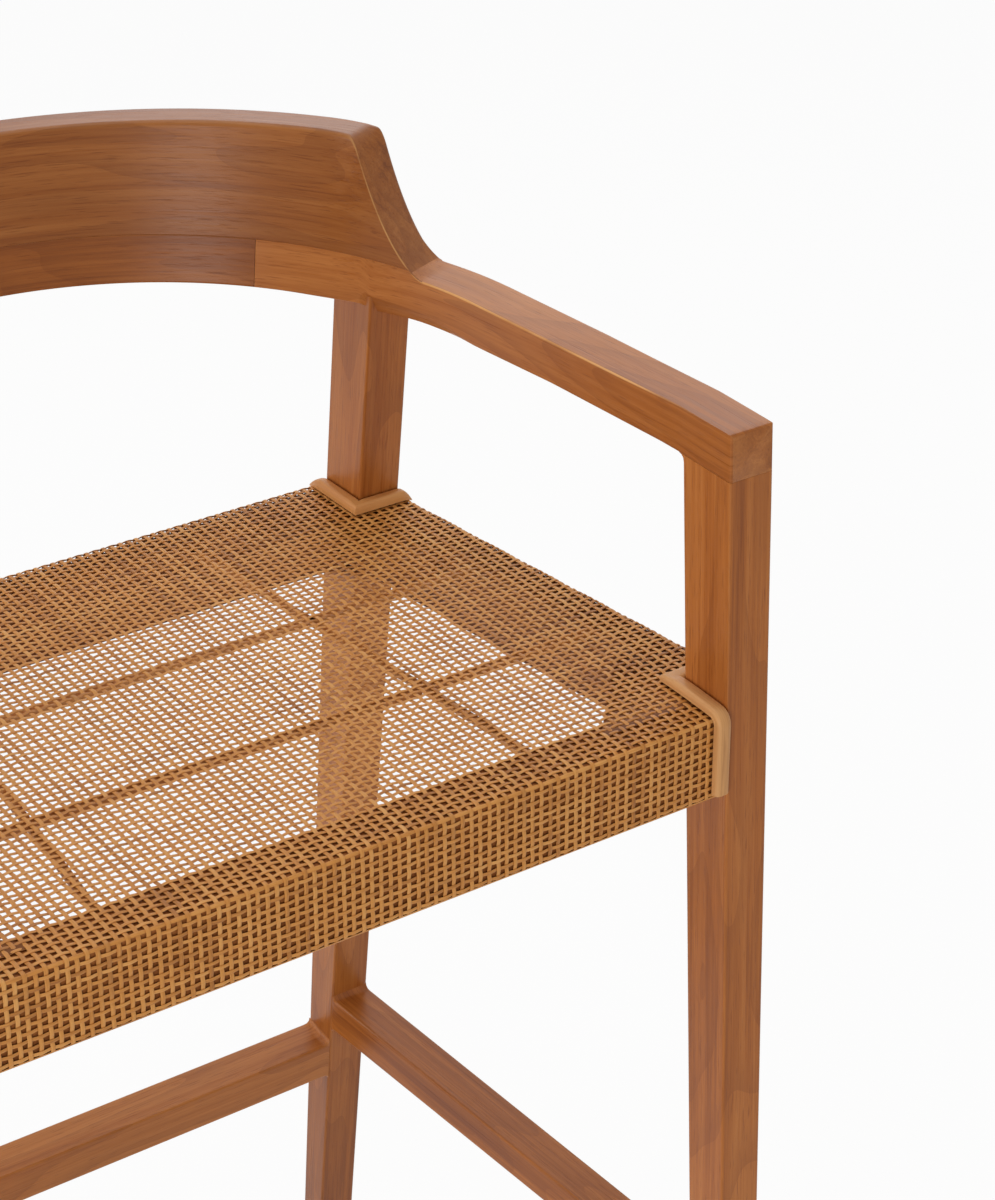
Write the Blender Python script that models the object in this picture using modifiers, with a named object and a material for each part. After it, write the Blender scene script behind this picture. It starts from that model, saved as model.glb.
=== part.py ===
"""Bar stool with a horseshoe arm and back rail, a curved crest board and a woven rattan seat.

The model is in metres with +Z up. The stool faces -Y, and its right side is +X.
Y is measured from the front legs' front face at seat height, and the parent empty
then moves the whole stool so that its box is centred on the origin, feet on Z = 0.
"""
import math

import bmesh
import bpy
import numpy as np
from mathutils import Matrix, Vector

# Heights: seat over the floor, arm's front over the seat, crest over the arm's front
SEAT_HEIGHT = 0.750
ARM_RISE = 0.1752
CREST_RISE = 0.0878

# Clearances
FIT = 0.0003
WEAVE_FIT = 0.0006
EDGE_ROUND = 0.0020
ROUND_STEPS = 2

# Legs: faces at seat height, their shift at the floor, and their sections
FRONT_LEG_SPLAY = 0.0155
FRONT_LEG_LEAN = 0.0295
FRONT_LEG_SEAT_DEPTH = 0.0429
FRONT_LEG_FOOT_DEPTH = 0.0288
REAR_LEG_INSET = 0.026
REAR_LEG_REACH = 0.0216
REAR_LEG_FRONT = 0.3524
REAR_LEG_RAKE = 0.0932
REAR_LEG_SEAT_DEPTH = 0.0429
REAR_LEG_FOOT_DEPTH = 0.0233
LEG_FOOT_WIDTH = 0.0300
LEG_TENON_DIAMETER = 0.018
LEG_TENON_LENGTH = 0.018
REAR_LEG_TRIM_SLOPE = 0.25

# Horseshoe band: two arms and the back rail between them
BAND_WIDTH = 0.0325
BAND_THICKNESS = 0.0305
BAND_RADIUS = 0.256
BAND_RISE = 0.033
SEAM_RISE = 0.035
ARM_TOP_RISE = 0.0187
ARM_BEND_Y = 0.057
ARM_BEND_RUN = 0.010
ARM_DIP_REACH = 0.0096
ARM_DIP_LENGTH = 0.030
BACK_RAIL_ANGLE = math.radians(46.7)
INNER_LEAN = 0.25
OUTER_LEAN = 0.18
LEAN_FULL_ANGLE = math.radians(55.0)
LEAN_ZERO_ANGLE = math.radians(75.0)
ARM_FACET = 0.006
ARM_OUTER_RISE = 0.0025
ARM_FACET_RUN = 0.085
ARC_STEP = math.radians(5.2)

# Crest board: full height up to the shoulder, then a swept end that runs out at the tip
CREST_SHOULDER_ANGLE = math.radians(60.8)
CREST_TIP_ANGLE = math.radians(74.2)
CREST_OUTER_SHOULDER_ANGLE = math.radians(61.8)
CREST_OUTER_TIP_ANGLE = math.radians(72.4)
CREST_SWEEP_POWER = 1.6
CREST_SHOULDER_BLEND = 0.004
CREST_TIP_HEIGHT = 0.0008
CREST_EDGE_ROUND = 0.003
CREST_END_SECTIONS = 12

# Seat frame
RAIL_THICKNESS = 0.024
RAIL_HEIGHT = 0.054
FRONT_RAIL_THICKNESS = 0.018
FRONT_RAIL_HEIGHT = 0.053
RAIL_TENON_THICKNESS = 0.010
RAIL_TENON_HEIGHT = 0.030
RAIL_TENON_LENGTH = 0.014
SIDE_SETBACK = 0.0067
SIDE_PROUD = 0.0038
SEAT_BACK_Y = 0.403
BLOCK_DROP = 0.010
BLOCK_HEIGHT = 0.020
FRONT_BLOCK_LEG = 0.075
REAR_BLOCK_LEG = 0.075
BLOCK_TIP = 0.006
BATTEN_WIDTH = 0.006
BATTEN_HEIGHT = 0.003
BATTEN_DROP = 0.0088
BATTEN_HOUSING = 0.005
CROSS_BATTEN_YS = {"front": 0.132, "rear": 0.248}
LONG_BATTEN_FRONT_X = 0.147
LONG_BATTEN_BACK_X = 0.113

# Woven seat: thickness, waterfall front, skirts and the see-through net
WEAVE_THICKNESS = 0.003
FRONT_PANEL_Y = -0.0005
WATERFALL_START_Y = 0.047
WATERFALL_DROP = 0.012
WATERFALL_ROWS = 5
FRONT_PANEL_DROP = 0.0695
SKIRT_DROP = 0.057
NET_COLUMNS = 18
NET_ROWS = 12
NET_STRAND = 0.006
NET_MARGIN = 0.004

# Binding strips of split rattan round the legs
BINDING_WIDTH = 0.0095
BINDING_HEIGHT = 0.0068
BINDING_BEND = 0.008
BINDING_SQUARENESS = 2.6
BINDING_POINTS = 7

# Stretchers
STRETCHER_HEIGHT = 0.032
SIDE_STRETCHER_TOP = 0.304
SIDE_STRETCHER_FALL = 0.0305
SIDE_STRETCHER_FRONT_HEIGHT = 0.0245
SIDE_STRETCHER_REAR_HEIGHT = 0.029
SIDE_STRETCHER_TENON_LENGTH = 0.010
SIDE_STRETCHER_TENON_HEIGHT = 0.016
CROSS_STRETCHER_TOP = 0.260
STRETCHER_TENON_THICKNESS = 0.012
STRETCHER_TENON_HEIGHT = 0.020
STRETCHER_TENON_LENGTH = 0.016

# Dowels, screws and glides
DOWEL_DIAMETER = 0.008
CREST_DOWEL_LENGTH = 0.030
CREST_DOWEL_ANGLES = [math.radians(a) for a in (-55.0, -36.0, -18.0, 0.0, 18.0, 36.0, 55.0)]
BAND_DOWEL_LENGTH = 0.040
BAND_DOWEL_SPACING = 0.014
SCREW_DIAMETER = 0.004
SCREW_HEAD_DIAMETER = 0.008
SCREW_HEAD_HEIGHT = 0.003
SCREW_POINT = 0.005
SCREW_LENGTH = 0.040
SCREW_BITE = 0.012
FRONT_SCREW_PLACE = 0.038
REAR_SCREW_PLACE = 0.028
SCREW_STAGGER = 0.0046
GLIDE_DIAMETER = 0.019
GLIDE_HEIGHT = 0.004
GLIDE_STEM_DIAMETER = 0.006
GLIDE_STEM_LENGTH = 0.012
ROUND_SIDES = 16

# Finishes: base colour, roughness
TEAK = ((0.36, 0.16, 0.06, 1.0), 0.42)
RATTAN = ((0.48, 0.29, 0.12, 1.0), 0.60)
PEELED_RATTAN = ((0.62, 0.37, 0.19, 1.0), 0.50)
BEECH = ((0.55, 0.38, 0.22, 1.0), 0.60)
STEEL = ((0.55, 0.54, 0.52, 1.0), 0.35)
NYLON = ((0.05, 0.045, 0.04, 1.0), 0.55)


# Sizes that follow from the others
ARM_HEIGHT = SEAT_HEIGHT + ARM_RISE
CREST_HEIGHT = ARM_HEIGHT + CREST_RISE
FRONT_LEG_INNER = BAND_RADIUS + FRONT_LEG_SPLAY
REAR_LEG_INNER = BAND_RADIUS - REAR_LEG_INSET


# Scene helpers

def clear_scene():
    for obj in list(bpy.data.objects):
        bpy.data.objects.remove(obj, do_unlink=True)


def make_collection(name):
    collection = bpy.data.collections.new(name)
    bpy.context.scene.collection.children.link(collection)
    return collection


def object_from_bmesh(name, bm, outward=True):
    if outward:
        bmesh.ops.recalc_face_normals(bm, faces=bm.faces)
    mesh = bpy.data.meshes.new(name)
    bm.to_mesh(mesh)
    bm.free()
    obj = bpy.data.objects.new(name, mesh)
    WORKSHOP.objects.link(obj)
    return obj


def settle(obj):
    """Replace an object's mesh by what its modifiers make of it."""
    graph = bpy.context.evaluated_depsgraph_get()
    graph.update()
    mesh = bpy.data.meshes.new_from_object(obj.evaluated_get(graph))
    obj.modifiers.clear()
    obj.data = mesh
    return obj


def combine(obj, other, operation):
    """Join or cut with another solid, which is used up."""
    modifier = obj.modifiers.new(operation.lower(), "BOOLEAN")
    modifier.operation = operation
    modifier.object = other
    modifier.solver = "EXACT"
    settle(obj)
    bpy.data.objects.remove(other, do_unlink=True)
    return obj


def join(obj, *others):
    for other in others:
        combine(obj, other, "UNION")
    return obj


def cut(obj, *others):
    for other in others:
        combine(obj, other, "DIFFERENCE")
    return obj


def mirrored(obj, name):
    """A copy on the other side of the middle plane."""
    bm = bmesh.new()
    bm.from_mesh(obj.data)
    bmesh.ops.scale(bm, vec=(-1.0, 1.0, 1.0), verts=bm.verts)
    bmesh.ops.reverse_faces(bm, faces=bm.faces)
    return object_from_bmesh(name, bm, outward=False)


def deliver(obj, name, finish, metallic=0.0):
    """Name a finished piece, give it its material and hang it on the stool's empty."""
    colour, roughness = finish
    material = bpy.data.materials.new(name)
    material.use_nodes = True
    shader = material.node_tree.nodes["Principled BSDF"]
    shader.inputs["Base Color"].default_value = colour
    shader.inputs["Roughness"].default_value = roughness
    shader.inputs["Metallic"].default_value = metallic
    obj.name = name
    obj.data.name = name
    obj.data.materials.clear()
    obj.data.materials.append(material)
    obj.data.shade_smooth()
    obj.data.set_sharp_from_angle(angle=math.radians(35.0))
    WORKSHOP.objects.unlink(obj)
    STOOL.objects.link(obj)
    obj.parent = STOOL_ORIGIN
    return obj


def deliver_pair(obj, name, finish):
    """Deliver a right-hand piece and its left-hand twin."""
    twin = mirrored(obj, name + "_left")
    deliver(obj, name + "_right", finish)
    deliver(twin, name + "_left", finish)


# Basic solids

def mix(a, b, t):
    return a + (b - a) * t


def smooth_step(t):
    t = min(max(t, 0.0), 1.0)
    return t * t * (3.0 - 2.0 * t)


def hexahedron(name, corner, rounded_edges=None, radius=EDGE_ROUND):
    """A cube whose eight corners are moved to corner(is_right, is_back, is_top).

    rounded_edges picks the edges to round by the index of the axis they run along.
    """
    bm = bmesh.new()
    bmesh.ops.create_cube(bm, size=2.0)
    along = {}
    for edge in bm.edges:
        a, b = edge.verts
        along[edge] = max(range(3), key=lambda axis: abs(a.co[axis] - b.co[axis]))
    picked = [edge for edge, axis in along.items() if axis == rounded_edges]
    for vert in bm.verts:
        vert.co = corner(vert.co.x > 0.0, vert.co.y > 0.0, vert.co.z > 0.0)
    if picked:
        bmesh.ops.bevel(bm, geom=picked, offset=radius, segments=ROUND_STEPS, profile=0.5,
                        affect="EDGES", clamp_overlap=True)
    return object_from_bmesh(name, bm)


def bar(name, start, end, width, bottom, top, grow=0.0):
    """A level bar between two plan points, grown all round by a clearance if asked."""
    start, end = Vector(start).to_2d(), Vector(end).to_2d()
    along = (end - start).normalized()
    across = Vector((along.y, -along.x))

    def corner(is_right, is_back, is_top):
        place = end + along * grow if is_back else start - along * grow
        place = place + across * (width / 2.0 + grow) * (1.0 if is_right else -1.0)
        return (place.x, place.y, top + grow if is_top else bottom - grow)

    return hexahedron(name, corner)


def cylinder(name, start, end, diameter, grow=0.0):
    """A round pin between two points, grown all round by a clearance if asked."""
    start, end = Vector(start), Vector(end)
    axis = end - start
    turn = axis.to_track_quat("Z", "Y").to_matrix().to_4x4()
    place = Matrix.Translation((start + end) / 2.0) @ turn
    radius = diameter / 2.0 + grow
    bm = bmesh.new()
    bmesh.ops.create_cone(bm, cap_ends=True, segments=ROUND_SIDES, radius1=radius, radius2=radius,
                          depth=axis.length + 2.0 * grow, matrix=place)
    return object_from_bmesh(name, bm)


def turned(name, profile, place):
    """A profile of (radius, height) points, top to bottom, turned about its Z axis."""
    mesh = bpy.data.meshes.new(name)
    points = [(radius, 0.0, height) for radius, height in profile]
    mesh.from_pydata(points, [(i, i + 1) for i in range(len(points) - 1)], [])
    obj = bpy.data.objects.new(name, mesh)
    WORKSHOP.objects.link(obj)
    screw = obj.modifiers.new("turn", "SCREW")
    screw.steps = ROUND_SIDES
    screw.render_steps = ROUND_SIDES
    screw.use_merge_vertices = True
    screw.merge_threshold = 0.00001
    settle(obj)
    obj.data.transform(place)
    return obj


def plate(name, outline, bottom, top):
    """A flat outline of plan points with a thickness."""
    curve = bpy.data.curves.new(name, "CURVE")
    curve.dimensions = "2D"
    curve.fill_mode = "BOTH"
    curve.extrude = (top - bottom) / 2.0
    spline = curve.splines.new("POLY")
    spline.points.add(len(outline) - 1)
    for point, (x, y) in zip(spline.points, outline):
        point.co = (x, y, 0.0, 1.0)
    spline.use_cyclic_u = True
    source = bpy.data.objects.new(name, curve)
    WORKSHOP.objects.link(source)
    source.location.z = (top + bottom) / 2.0
    graph = bpy.context.evaluated_depsgraph_get()
    graph.update()
    mesh = bpy.data.meshes.new_from_object(source.evaluated_get(graph))
    mesh.transform(Matrix.Translation(source.location))
    bpy.data.objects.remove(source, do_unlink=True)
    bm = bmesh.new()
    bm.from_mesh(mesh)
    bmesh.ops.remove_doubles(bm, verts=bm.verts, dist=0.00001)
    return object_from_bmesh(name, bm)


def loft(name, sections):
    """A solid through closed sections with equal numbers of points, capped at both ends."""
    bm = bmesh.new()
    rings = [[bm.verts.new(point) for point in section] for section in sections]
    count = len(rings[0])
    for ring, following in zip(rings, rings[1:]):
        for i in range(count):
            j = (i + 1) % count
            bm.faces.new((ring[i], ring[j], following[j], following[i]))
    bm.faces.new(rings[0])
    bm.faces.new(rings[-1])
    return object_from_bmesh(name, bm)


def soften(corners, radii, steps=2):
    """Round the corners of a flat outline; a corner without a radius stays one point."""
    points = []
    count = len(corners)
    for i, (corner, radius) in enumerate(zip(corners, radii)):
        corner = Vector(corner)
        if not radius:
            points.append(corner)
            continue
        before = Vector(corners[i - 1]) - corner
        after = Vector(corners[(i + 1) % count]) - corner
        first = corner + before.normalized() * min(radius, before.length * 0.4)
        last = corner + after.normalized() * min(radius, after.length * 0.4)
        for k in range(steps + 1):
            t = k / steps
            points.append(first * (1 - t) ** 2 + corner * (2 * t * (1 - t)) + last * t ** 2)
    return points


# Faces of the legs, as functions of height

def leg_width(z):
    return mix(LEG_FOOT_WIDTH, BAND_WIDTH, z / ARM_HEIGHT)


def front_leg_front(z):
    return mix(-FRONT_LEG_LEAN, 0.0, z / SEAT_HEIGHT)


def front_leg_rear(z):
    foot = -FRONT_LEG_LEAN + FRONT_LEG_FOOT_DEPTH
    return mix(foot, FRONT_LEG_SEAT_DEPTH, z / SEAT_HEIGHT)


def rear_leg_front(z):
    return mix(REAR_LEG_FRONT + REAR_LEG_RAKE, REAR_LEG_FRONT, z / SEAT_HEIGHT)


def rear_leg_rear(z):
    foot = REAR_LEG_FRONT + REAR_LEG_RAKE + REAR_LEG_FOOT_DEPTH
    return mix(foot, REAR_LEG_FRONT + REAR_LEG_SEAT_DEPTH, z / SEAT_HEIGHT)


# Heights and plan of the horseshoe band

ARM_FRONT_Y = front_leg_front(ARM_HEIGHT)


def band_bottom(y):
    return ARM_HEIGHT - BAND_THICKNESS + BAND_RISE * (y - ARM_FRONT_Y)


def seam(y):
    return ARM_HEIGHT + SEAM_RISE * (y - ARM_FRONT_Y)


def leg_top(face):
    """Point (y, z) where a leg's face meets the band's underside."""
    z = ARM_HEIGHT
    for _ in range(12):
        z = band_bottom(face(z)) - FIT
    return face(z), z


def band_centre():
    """Depth of the arc's centre, which puts the band over the rear legs' tops."""
    front_y, front_z = leg_top(rear_leg_front)
    rear_y, rear_z = leg_top(rear_leg_rear)
    leg_x = REAR_LEG_INNER + leg_width((front_z + rear_z) / 2.0) / 2.0
    reach = BAND_RADIUS + REAR_LEG_REACH
    return (front_y + rear_y) / 2.0 - math.sqrt(reach ** 2 - leg_x ** 2)


BAND_CENTRE_Y = band_centre()


def band_top(y, edge_rise=0.0):
    """The seam under the crest, dipping to the arm's own top in front of the crest's tip."""
    arm = ARM_HEIGHT + edge_rise + ARM_TOP_RISE * (y - ARM_FRONT_Y)
    dip_back = arc_place(CREST_TIP_ANGLE).y + ARM_DIP_REACH
    share = smooth_step((y - dip_back + ARM_DIP_LENGTH) / ARM_DIP_LENGTH)
    return mix(arm, seam(y), share)


def lean_share(angle):
    span = LEAN_ZERO_ANGLE - LEAN_FULL_ANGLE
    return 1.0 - smooth_step((abs(angle) - LEAN_FULL_ANGLE) / span)


def arc_place(angle, radius=BAND_RADIUS):
    """Plan point on the horseshoe's arc; angle 0 is the middle of the back."""
    return Vector((radius * math.sin(angle), BAND_CENTRE_Y + radius * math.cos(angle)))


def tangent_angle():
    """Where the line from the arm's bend touches the arc."""
    reach = Vector((FRONT_LEG_INNER, ARM_BEND_Y - BAND_CENTRE_Y))
    return math.atan2(reach.x, reach.y) - math.acos(BAND_RADIUS / reach.length)


# The arm's lower inner edge is cut back to a facet that starts at the rear leg
FACET_BACK_Y = leg_top(rear_leg_front)[0]


def arm_facet(y):
    share = (y - (FACET_BACK_Y - ARM_FACET_RUN)) / ARM_FACET_RUN
    if y > FACET_BACK_Y + FIT:
        return EDGE_ROUND
    return mix(EDGE_ROUND, ARM_FACET, min(max(share, 0.0), 1.0))


def band_section(inner, normal, lean, facet=EDGE_ROUND):
    """Section of the band at a plan point of its inner edge, with the outward normal."""
    outer = inner + normal * BAND_WIDTH
    low_in = band_bottom(inner.y)
    low_out = band_bottom(outer.y)
    high_in = band_top(inner.y)
    high_out = band_top(outer.y, ARM_OUTER_RISE)
    corners = [
        (lean * INNER_LEAN * (low_in - seam(inner.y)), low_in),
        (BAND_WIDTH + lean * OUTER_LEAN * (low_out - seam(outer.y)), low_out),
        (BAND_WIDTH + lean * OUTER_LEAN * (high_out - seam(outer.y)), high_out),
        (lean * INNER_LEAN * (high_in - seam(inner.y)), high_in),
    ]
    radii = [facet, EDGE_ROUND, EDGE_ROUND, EDGE_ROUND]
    section = []
    for across, height in soften(corners, radii):
        place = inner + normal * across
        section.append((place.x, place.y, height))
    return section


def arc_section(angle, facet=EDGE_ROUND):
    normal = Vector((math.sin(angle), math.cos(angle)))
    return band_section(arc_place(angle), normal, lean_share(angle), facet)


def arc_angles(first, last):
    count = max(2, round(abs(last - first) / ARC_STEP))
    return [mix(first, last, i / count) for i in range(count + 1)]


def make_back_rail():
    end = BACK_RAIL_ANGLE - FIT / 2.0 / BAND_RADIUS
    rail = loft("back_rail", [arc_section(angle) for angle in arc_angles(-end, end)])
    cut(rail, *crest_dowels(FIT, -BACK_RAIL_ANGLE, BACK_RAIL_ANGLE))
    cut(rail, *band_dowels(-1.0, FIT), *band_dowels(1.0, FIT))
    return deliver(rail, "back_rail", TEAK)


def make_arms():
    """Right arm: arc, straight run in to the bend, then square over the front leg."""
    touch = tangent_angle()
    first = BACK_RAIL_ANGLE + FIT / 2.0 / BAND_RADIUS
    sections = []
    for angle in arc_angles(first, touch):
        sections.append(arc_section(angle, arm_facet(arc_place(angle).y)))
    begin = arc_place(touch)
    slanted = Vector((math.sin(touch), math.cos(touch)))
    square = Vector((1.0, 0.0))
    bend = Vector((FRONT_LEG_INNER, ARM_BEND_Y))
    run = (bend - begin).normalized()
    facet_end = begin + run * (begin.y - FACET_BACK_Y + ARM_FACET_RUN) / -run.y
    stations = [
        (facet_end, slanted),
        (bend - run * ARM_BEND_RUN, slanted),
        (bend, (slanted + square).normalized()),
        (bend - Vector((0.0, ARM_BEND_RUN)), square),
        (Vector((FRONT_LEG_INNER, ARM_FRONT_Y)), square),
    ]
    for place, normal in stations:
        sections.append(band_section(place, normal, 0.0, arm_facet(place.y)))
    sections[-1] = [(x, front_leg_front(z), z) for x, y, z in sections[-1]]
    arm = loft("arm", sections)
    cut(arm, *crest_dowels(FIT, BACK_RAIL_ANGLE, math.pi), *band_dowels(1.0, FIT))
    cut(arm, leg_tenon(front_tenon_place(), FIT), leg_tenon(rear_tenon_place(), FIT))
    deliver_pair(arm, "arm", TEAK)


# Crest board

def crest_height(angle, shoulder, tip):
    """Height over the seam: level top, a softened shoulder, then a power curve to the tip."""
    full = CREST_HEIGHT - seam(arc_place(angle).y)
    share = (tip - abs(angle)) / (tip - shoulder)
    swept = full * max(share, 0.0) ** CREST_SWEEP_POWER
    overlap = max(CREST_SHOULDER_BLEND - abs(full - swept), 0.0) / CREST_SHOULDER_BLEND
    height = min(full, swept) - overlap ** 2 * CREST_SHOULDER_BLEND / 4.0
    return max(height, CREST_TIP_HEIGHT)


def crest_section(angle):
    inner = arc_place(angle)
    normal = Vector((math.sin(angle), math.cos(angle)))
    outer = inner + normal * BAND_WIDTH
    lean = lean_share(angle)
    height = crest_height(angle, CREST_SHOULDER_ANGLE, CREST_TIP_ANGLE)
    outer_height = crest_height(angle, CREST_OUTER_SHOULDER_ANGLE, CREST_OUTER_TIP_ANGLE)
    top = seam(inner.y) + height
    high_out = max(seam(inner.y) + outer_height, seam(outer.y) + CREST_TIP_HEIGHT)
    corners = [
        (0.0, seam(inner.y) + FIT),
        (BAND_WIDTH, seam(outer.y) + FIT),
        (BAND_WIDTH + lean * OUTER_LEAN * (high_out - seam(outer.y)), high_out),
        (lean * INNER_LEAN * height, top),
    ]
    round_top = min(CREST_EDGE_ROUND, height / 3.0)
    section = []
    for across, level in soften(corners, [0.0, 0.0, round_top, round_top], steps=3):
        place = inner + normal * across
        section.append((place.x, place.y, level))
    return section


def make_crest_board():
    """Loft over the whole arc, with closer sections along the swept ends."""
    shoulder = CREST_SHOULDER_ANGLE - CREST_SHOULDER_BLEND / BAND_RADIUS
    tip = CREST_TIP_ANGLE
    sweep = [mix(shoulder, tip, i / CREST_END_SECTIONS) for i in range(1, CREST_END_SECTIONS + 1)]
    angles = [-a for a in reversed(sweep)] + arc_angles(-shoulder, shoulder) + sweep
    crest = loft("crest_board", [crest_section(angle) for angle in angles])
    cut(crest, *crest_dowels(FIT, -math.pi, math.pi))
    return deliver(crest, "crest_board", TEAK)


# Dowels between crest and band and between the band's pieces

def crest_dowels(grow, first, last):
    """Pins across the seam that follow the lean of the back, between two angles."""
    pins = []
    for angle in CREST_DOWEL_ANGLES:
        if not first < angle < last:
            continue
        normal = Vector((math.sin(angle), math.cos(angle)))
        place = arc_place(angle) + normal * BAND_WIDTH / 2.0
        slope = lean_share(angle) * (INNER_LEAN + OUTER_LEAN) / 2.0
        axis = Vector((normal.x * slope, normal.y * slope, 1.0)).normalized()
        middle = Vector((place.x, place.y, seam(place.y)))
        half = axis * CREST_DOWEL_LENGTH / 2.0
        pins.append(cylinder("dowel", middle - half, middle + half, DOWEL_DIAMETER, grow))
    return pins


def band_dowels(side, grow):
    """Two level pins through the joint between back rail and arm on one side."""
    angle = side * BACK_RAIL_ANGLE
    normal = Vector((math.sin(angle), math.cos(angle)))
    middle_face = BAND_WIDTH / 2.0 - lean_share(angle) * BAND_THICKNESS * (INNER_LEAN + OUTER_LEAN) / 4.0
    pins = []
    for offset in (-BAND_DOWEL_SPACING / 2.0, BAND_DOWEL_SPACING / 2.0):
        place = arc_place(angle) + normal * (middle_face + offset)
        height = (band_bottom(place.y) + seam(place.y)) / 2.0
        middle = Vector((place.x, place.y, height))
        half = Vector((normal.y, -normal.x, 0.0)) * BAND_DOWEL_LENGTH / 2.0
        pins.append(cylinder("dowel", middle - half, middle + half, DOWEL_DIAMETER, grow))
    return pins


def deliver_set(pieces, name, finish, metallic=0.0):
    """Deliver like pieces under one name and a running number."""
    for number, piece in enumerate(pieces, start=1):
        deliver(piece, f"{name}_{number}", finish, metallic)


# Legs

def front_tenon_place():
    """Lower and upper centre of the front leg's round tenon."""
    x = FRONT_LEG_INNER + BAND_WIDTH / 2.0
    top = band_bottom(FRONT_LEG_SEAT_DEPTH / 2.0)
    y = (front_leg_front(top) + front_leg_rear(top)) / 2.0
    return Vector((x, y, top - LEG_TENON_LENGTH)), Vector((x, y, top + LEG_TENON_LENGTH))


def rear_tenon_place():
    """The same on the rear leg, at the middle of the band's width."""
    top = band_bottom(REAR_LEG_FRONT)
    x = REAR_LEG_INNER + leg_width(top) / 2.0
    y = (rear_leg_front(top) + rear_leg_rear(top)) / 2.0
    angle = math.atan2(x, y - BAND_CENTRE_Y)
    lean = lean_share(angle) * BAND_THICKNESS * (INNER_LEAN + OUTER_LEAN) / 2.0
    place = arc_place(angle, BAND_RADIUS + BAND_WIDTH / 2.0 - lean)
    x, y = place
    return Vector((x, y, top - LEG_TENON_LENGTH)), Vector((x, y, top + LEG_TENON_LENGTH))


def leg_tenon(place, grow):
    return cylinder("tenon", place[0], place[1], LEG_TENON_DIAMETER, grow)


def tapered_leg(name, inner, front, rear):
    """Right-hand leg from the glide up to the band, flush faces given by height."""
    tops = {False: leg_top(front), True: leg_top(rear)}
    foot = GLIDE_HEIGHT + FIT

    def corner(is_right, is_back, is_top):
        face = rear if is_back else front
        y, z = tops[is_back] if is_top else (face(foot), foot)
        return (inner + (leg_width(z) if is_right else 0.0), y, z)

    return hexahedron(name, corner, rounded_edges=2)


def glide_place(inner, front, rear):
    """Middle of a leg's foot in plan."""
    foot = GLIDE_HEIGHT
    return Vector((inner + leg_width(foot) / 2.0, (front(foot) + rear(foot)) / 2.0, 0.0))


def glide(place, grow=0.0):
    """A disc with a stem that goes up into the leg."""
    top = GLIDE_HEIGHT + GLIDE_STEM_LENGTH
    stem = GLIDE_STEM_DIAMETER / 2.0 + grow
    rim = GLIDE_DIAMETER / 2.0
    profile = [(0.0, top + grow), (stem, top + grow), (stem, GLIDE_HEIGHT)]
    profile += [(rim, GLIDE_HEIGHT), (rim, 0.001), (rim - 0.001, 0.0), (0.0, 0.0)]
    return turned("glide", profile, Matrix.Translation(place))


FRONT_LEG = (FRONT_LEG_INNER, front_leg_front, front_leg_rear)
REAR_LEG = (REAR_LEG_INNER, rear_leg_front, rear_leg_rear)


def rear_leg_trim():
    """A cone about the arc's centre that takes the leg's corner back to the band's outer face."""
    y, top = leg_top(rear_leg_rear)
    corner = Vector((REAR_LEG_INNER + leg_width(top), y - BAND_CENTRE_Y))
    lean = lean_share(math.atan2(corner.x, corner.y))
    radius = BAND_RADIUS + BAND_WIDTH - lean * OUTER_LEAN * BAND_THICKNESS
    over = CREST_HEIGHT
    bm = bmesh.new()
    bmesh.ops.create_cone(bm, cap_ends=True, segments=96, radius1=radius + REAR_LEG_TRIM_SLOPE * top,
                          radius2=radius - REAR_LEG_TRIM_SLOPE * (over - top), depth=over,
                          matrix=Matrix.Translation((0.0, BAND_CENTRE_Y, over / 2.0)))
    return object_from_bmesh("trim", bm)


def make_legs():
    front = tapered_leg("front_leg", *FRONT_LEG)
    join(front, leg_tenon(front_tenon_place(), 0.0))
    cut(front, side_rail_core(FIT), front_rail_core(FIT), side_stretcher_core(FIT))
    cut(front, footrest_core(FIT), glide(glide_place(*FRONT_LEG), FIT))
    deliver_pair(front, "front_leg", TEAK)
    rear = tapered_leg("rear_leg", *REAR_LEG)
    combine(rear, rear_leg_trim(), "INTERSECT")
    join(rear, leg_tenon(rear_tenon_place(), 0.0))
    cut(rear, side_rail_core(FIT), back_rail_core(FIT), side_stretcher_core(FIT))
    cut(rear, back_stretcher_core(FIT), glide(glide_place(*REAR_LEG), FIT))
    deliver_pair(rear, "rear_leg", TEAK)
    deliver_pair(glide(glide_place(*FRONT_LEG)), "foot_glide_front", NYLON)
    deliver_pair(glide(glide_place(*REAR_LEG)), "foot_glide_rear", NYLON)


# Seat frame

RAIL_TOP = SEAT_HEIGHT - WEAVE_THICKNESS - WEAVE_FIT
RAIL_BOTTOM = RAIL_TOP - RAIL_HEIGHT
RAIL_TENON_Z = RAIL_TOP - RAIL_HEIGHT / 2.0


def waterfall(y):
    """How far the seat's surface lies below its flat part near the front."""
    share = max(WATERFALL_START_Y - y, 0.0) / (WATERFALL_START_Y - FRONT_PANEL_Y)
    return WATERFALL_DROP * share ** 2


def seat_side(y):
    """Outer face of the weave at the side: set back at the front leg, proud of the rear leg."""
    width = leg_width(SEAT_HEIGHT)
    front_y, rear_y = FRONT_LEG_SEAT_DEPTH, REAR_LEG_FRONT
    front_x = FRONT_LEG_INNER + width - SIDE_SETBACK
    rear_x = REAR_LEG_INNER + width + SIDE_PROUD
    return mix(front_x, rear_x, (y - front_y) / (rear_y - front_y))


def side_rail_outer(y):
    return seat_side(y) - WEAVE_THICKNESS - WEAVE_FIT


def side_rail_inner(y):
    return side_rail_outer(y) - RAIL_THICKNESS


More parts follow.
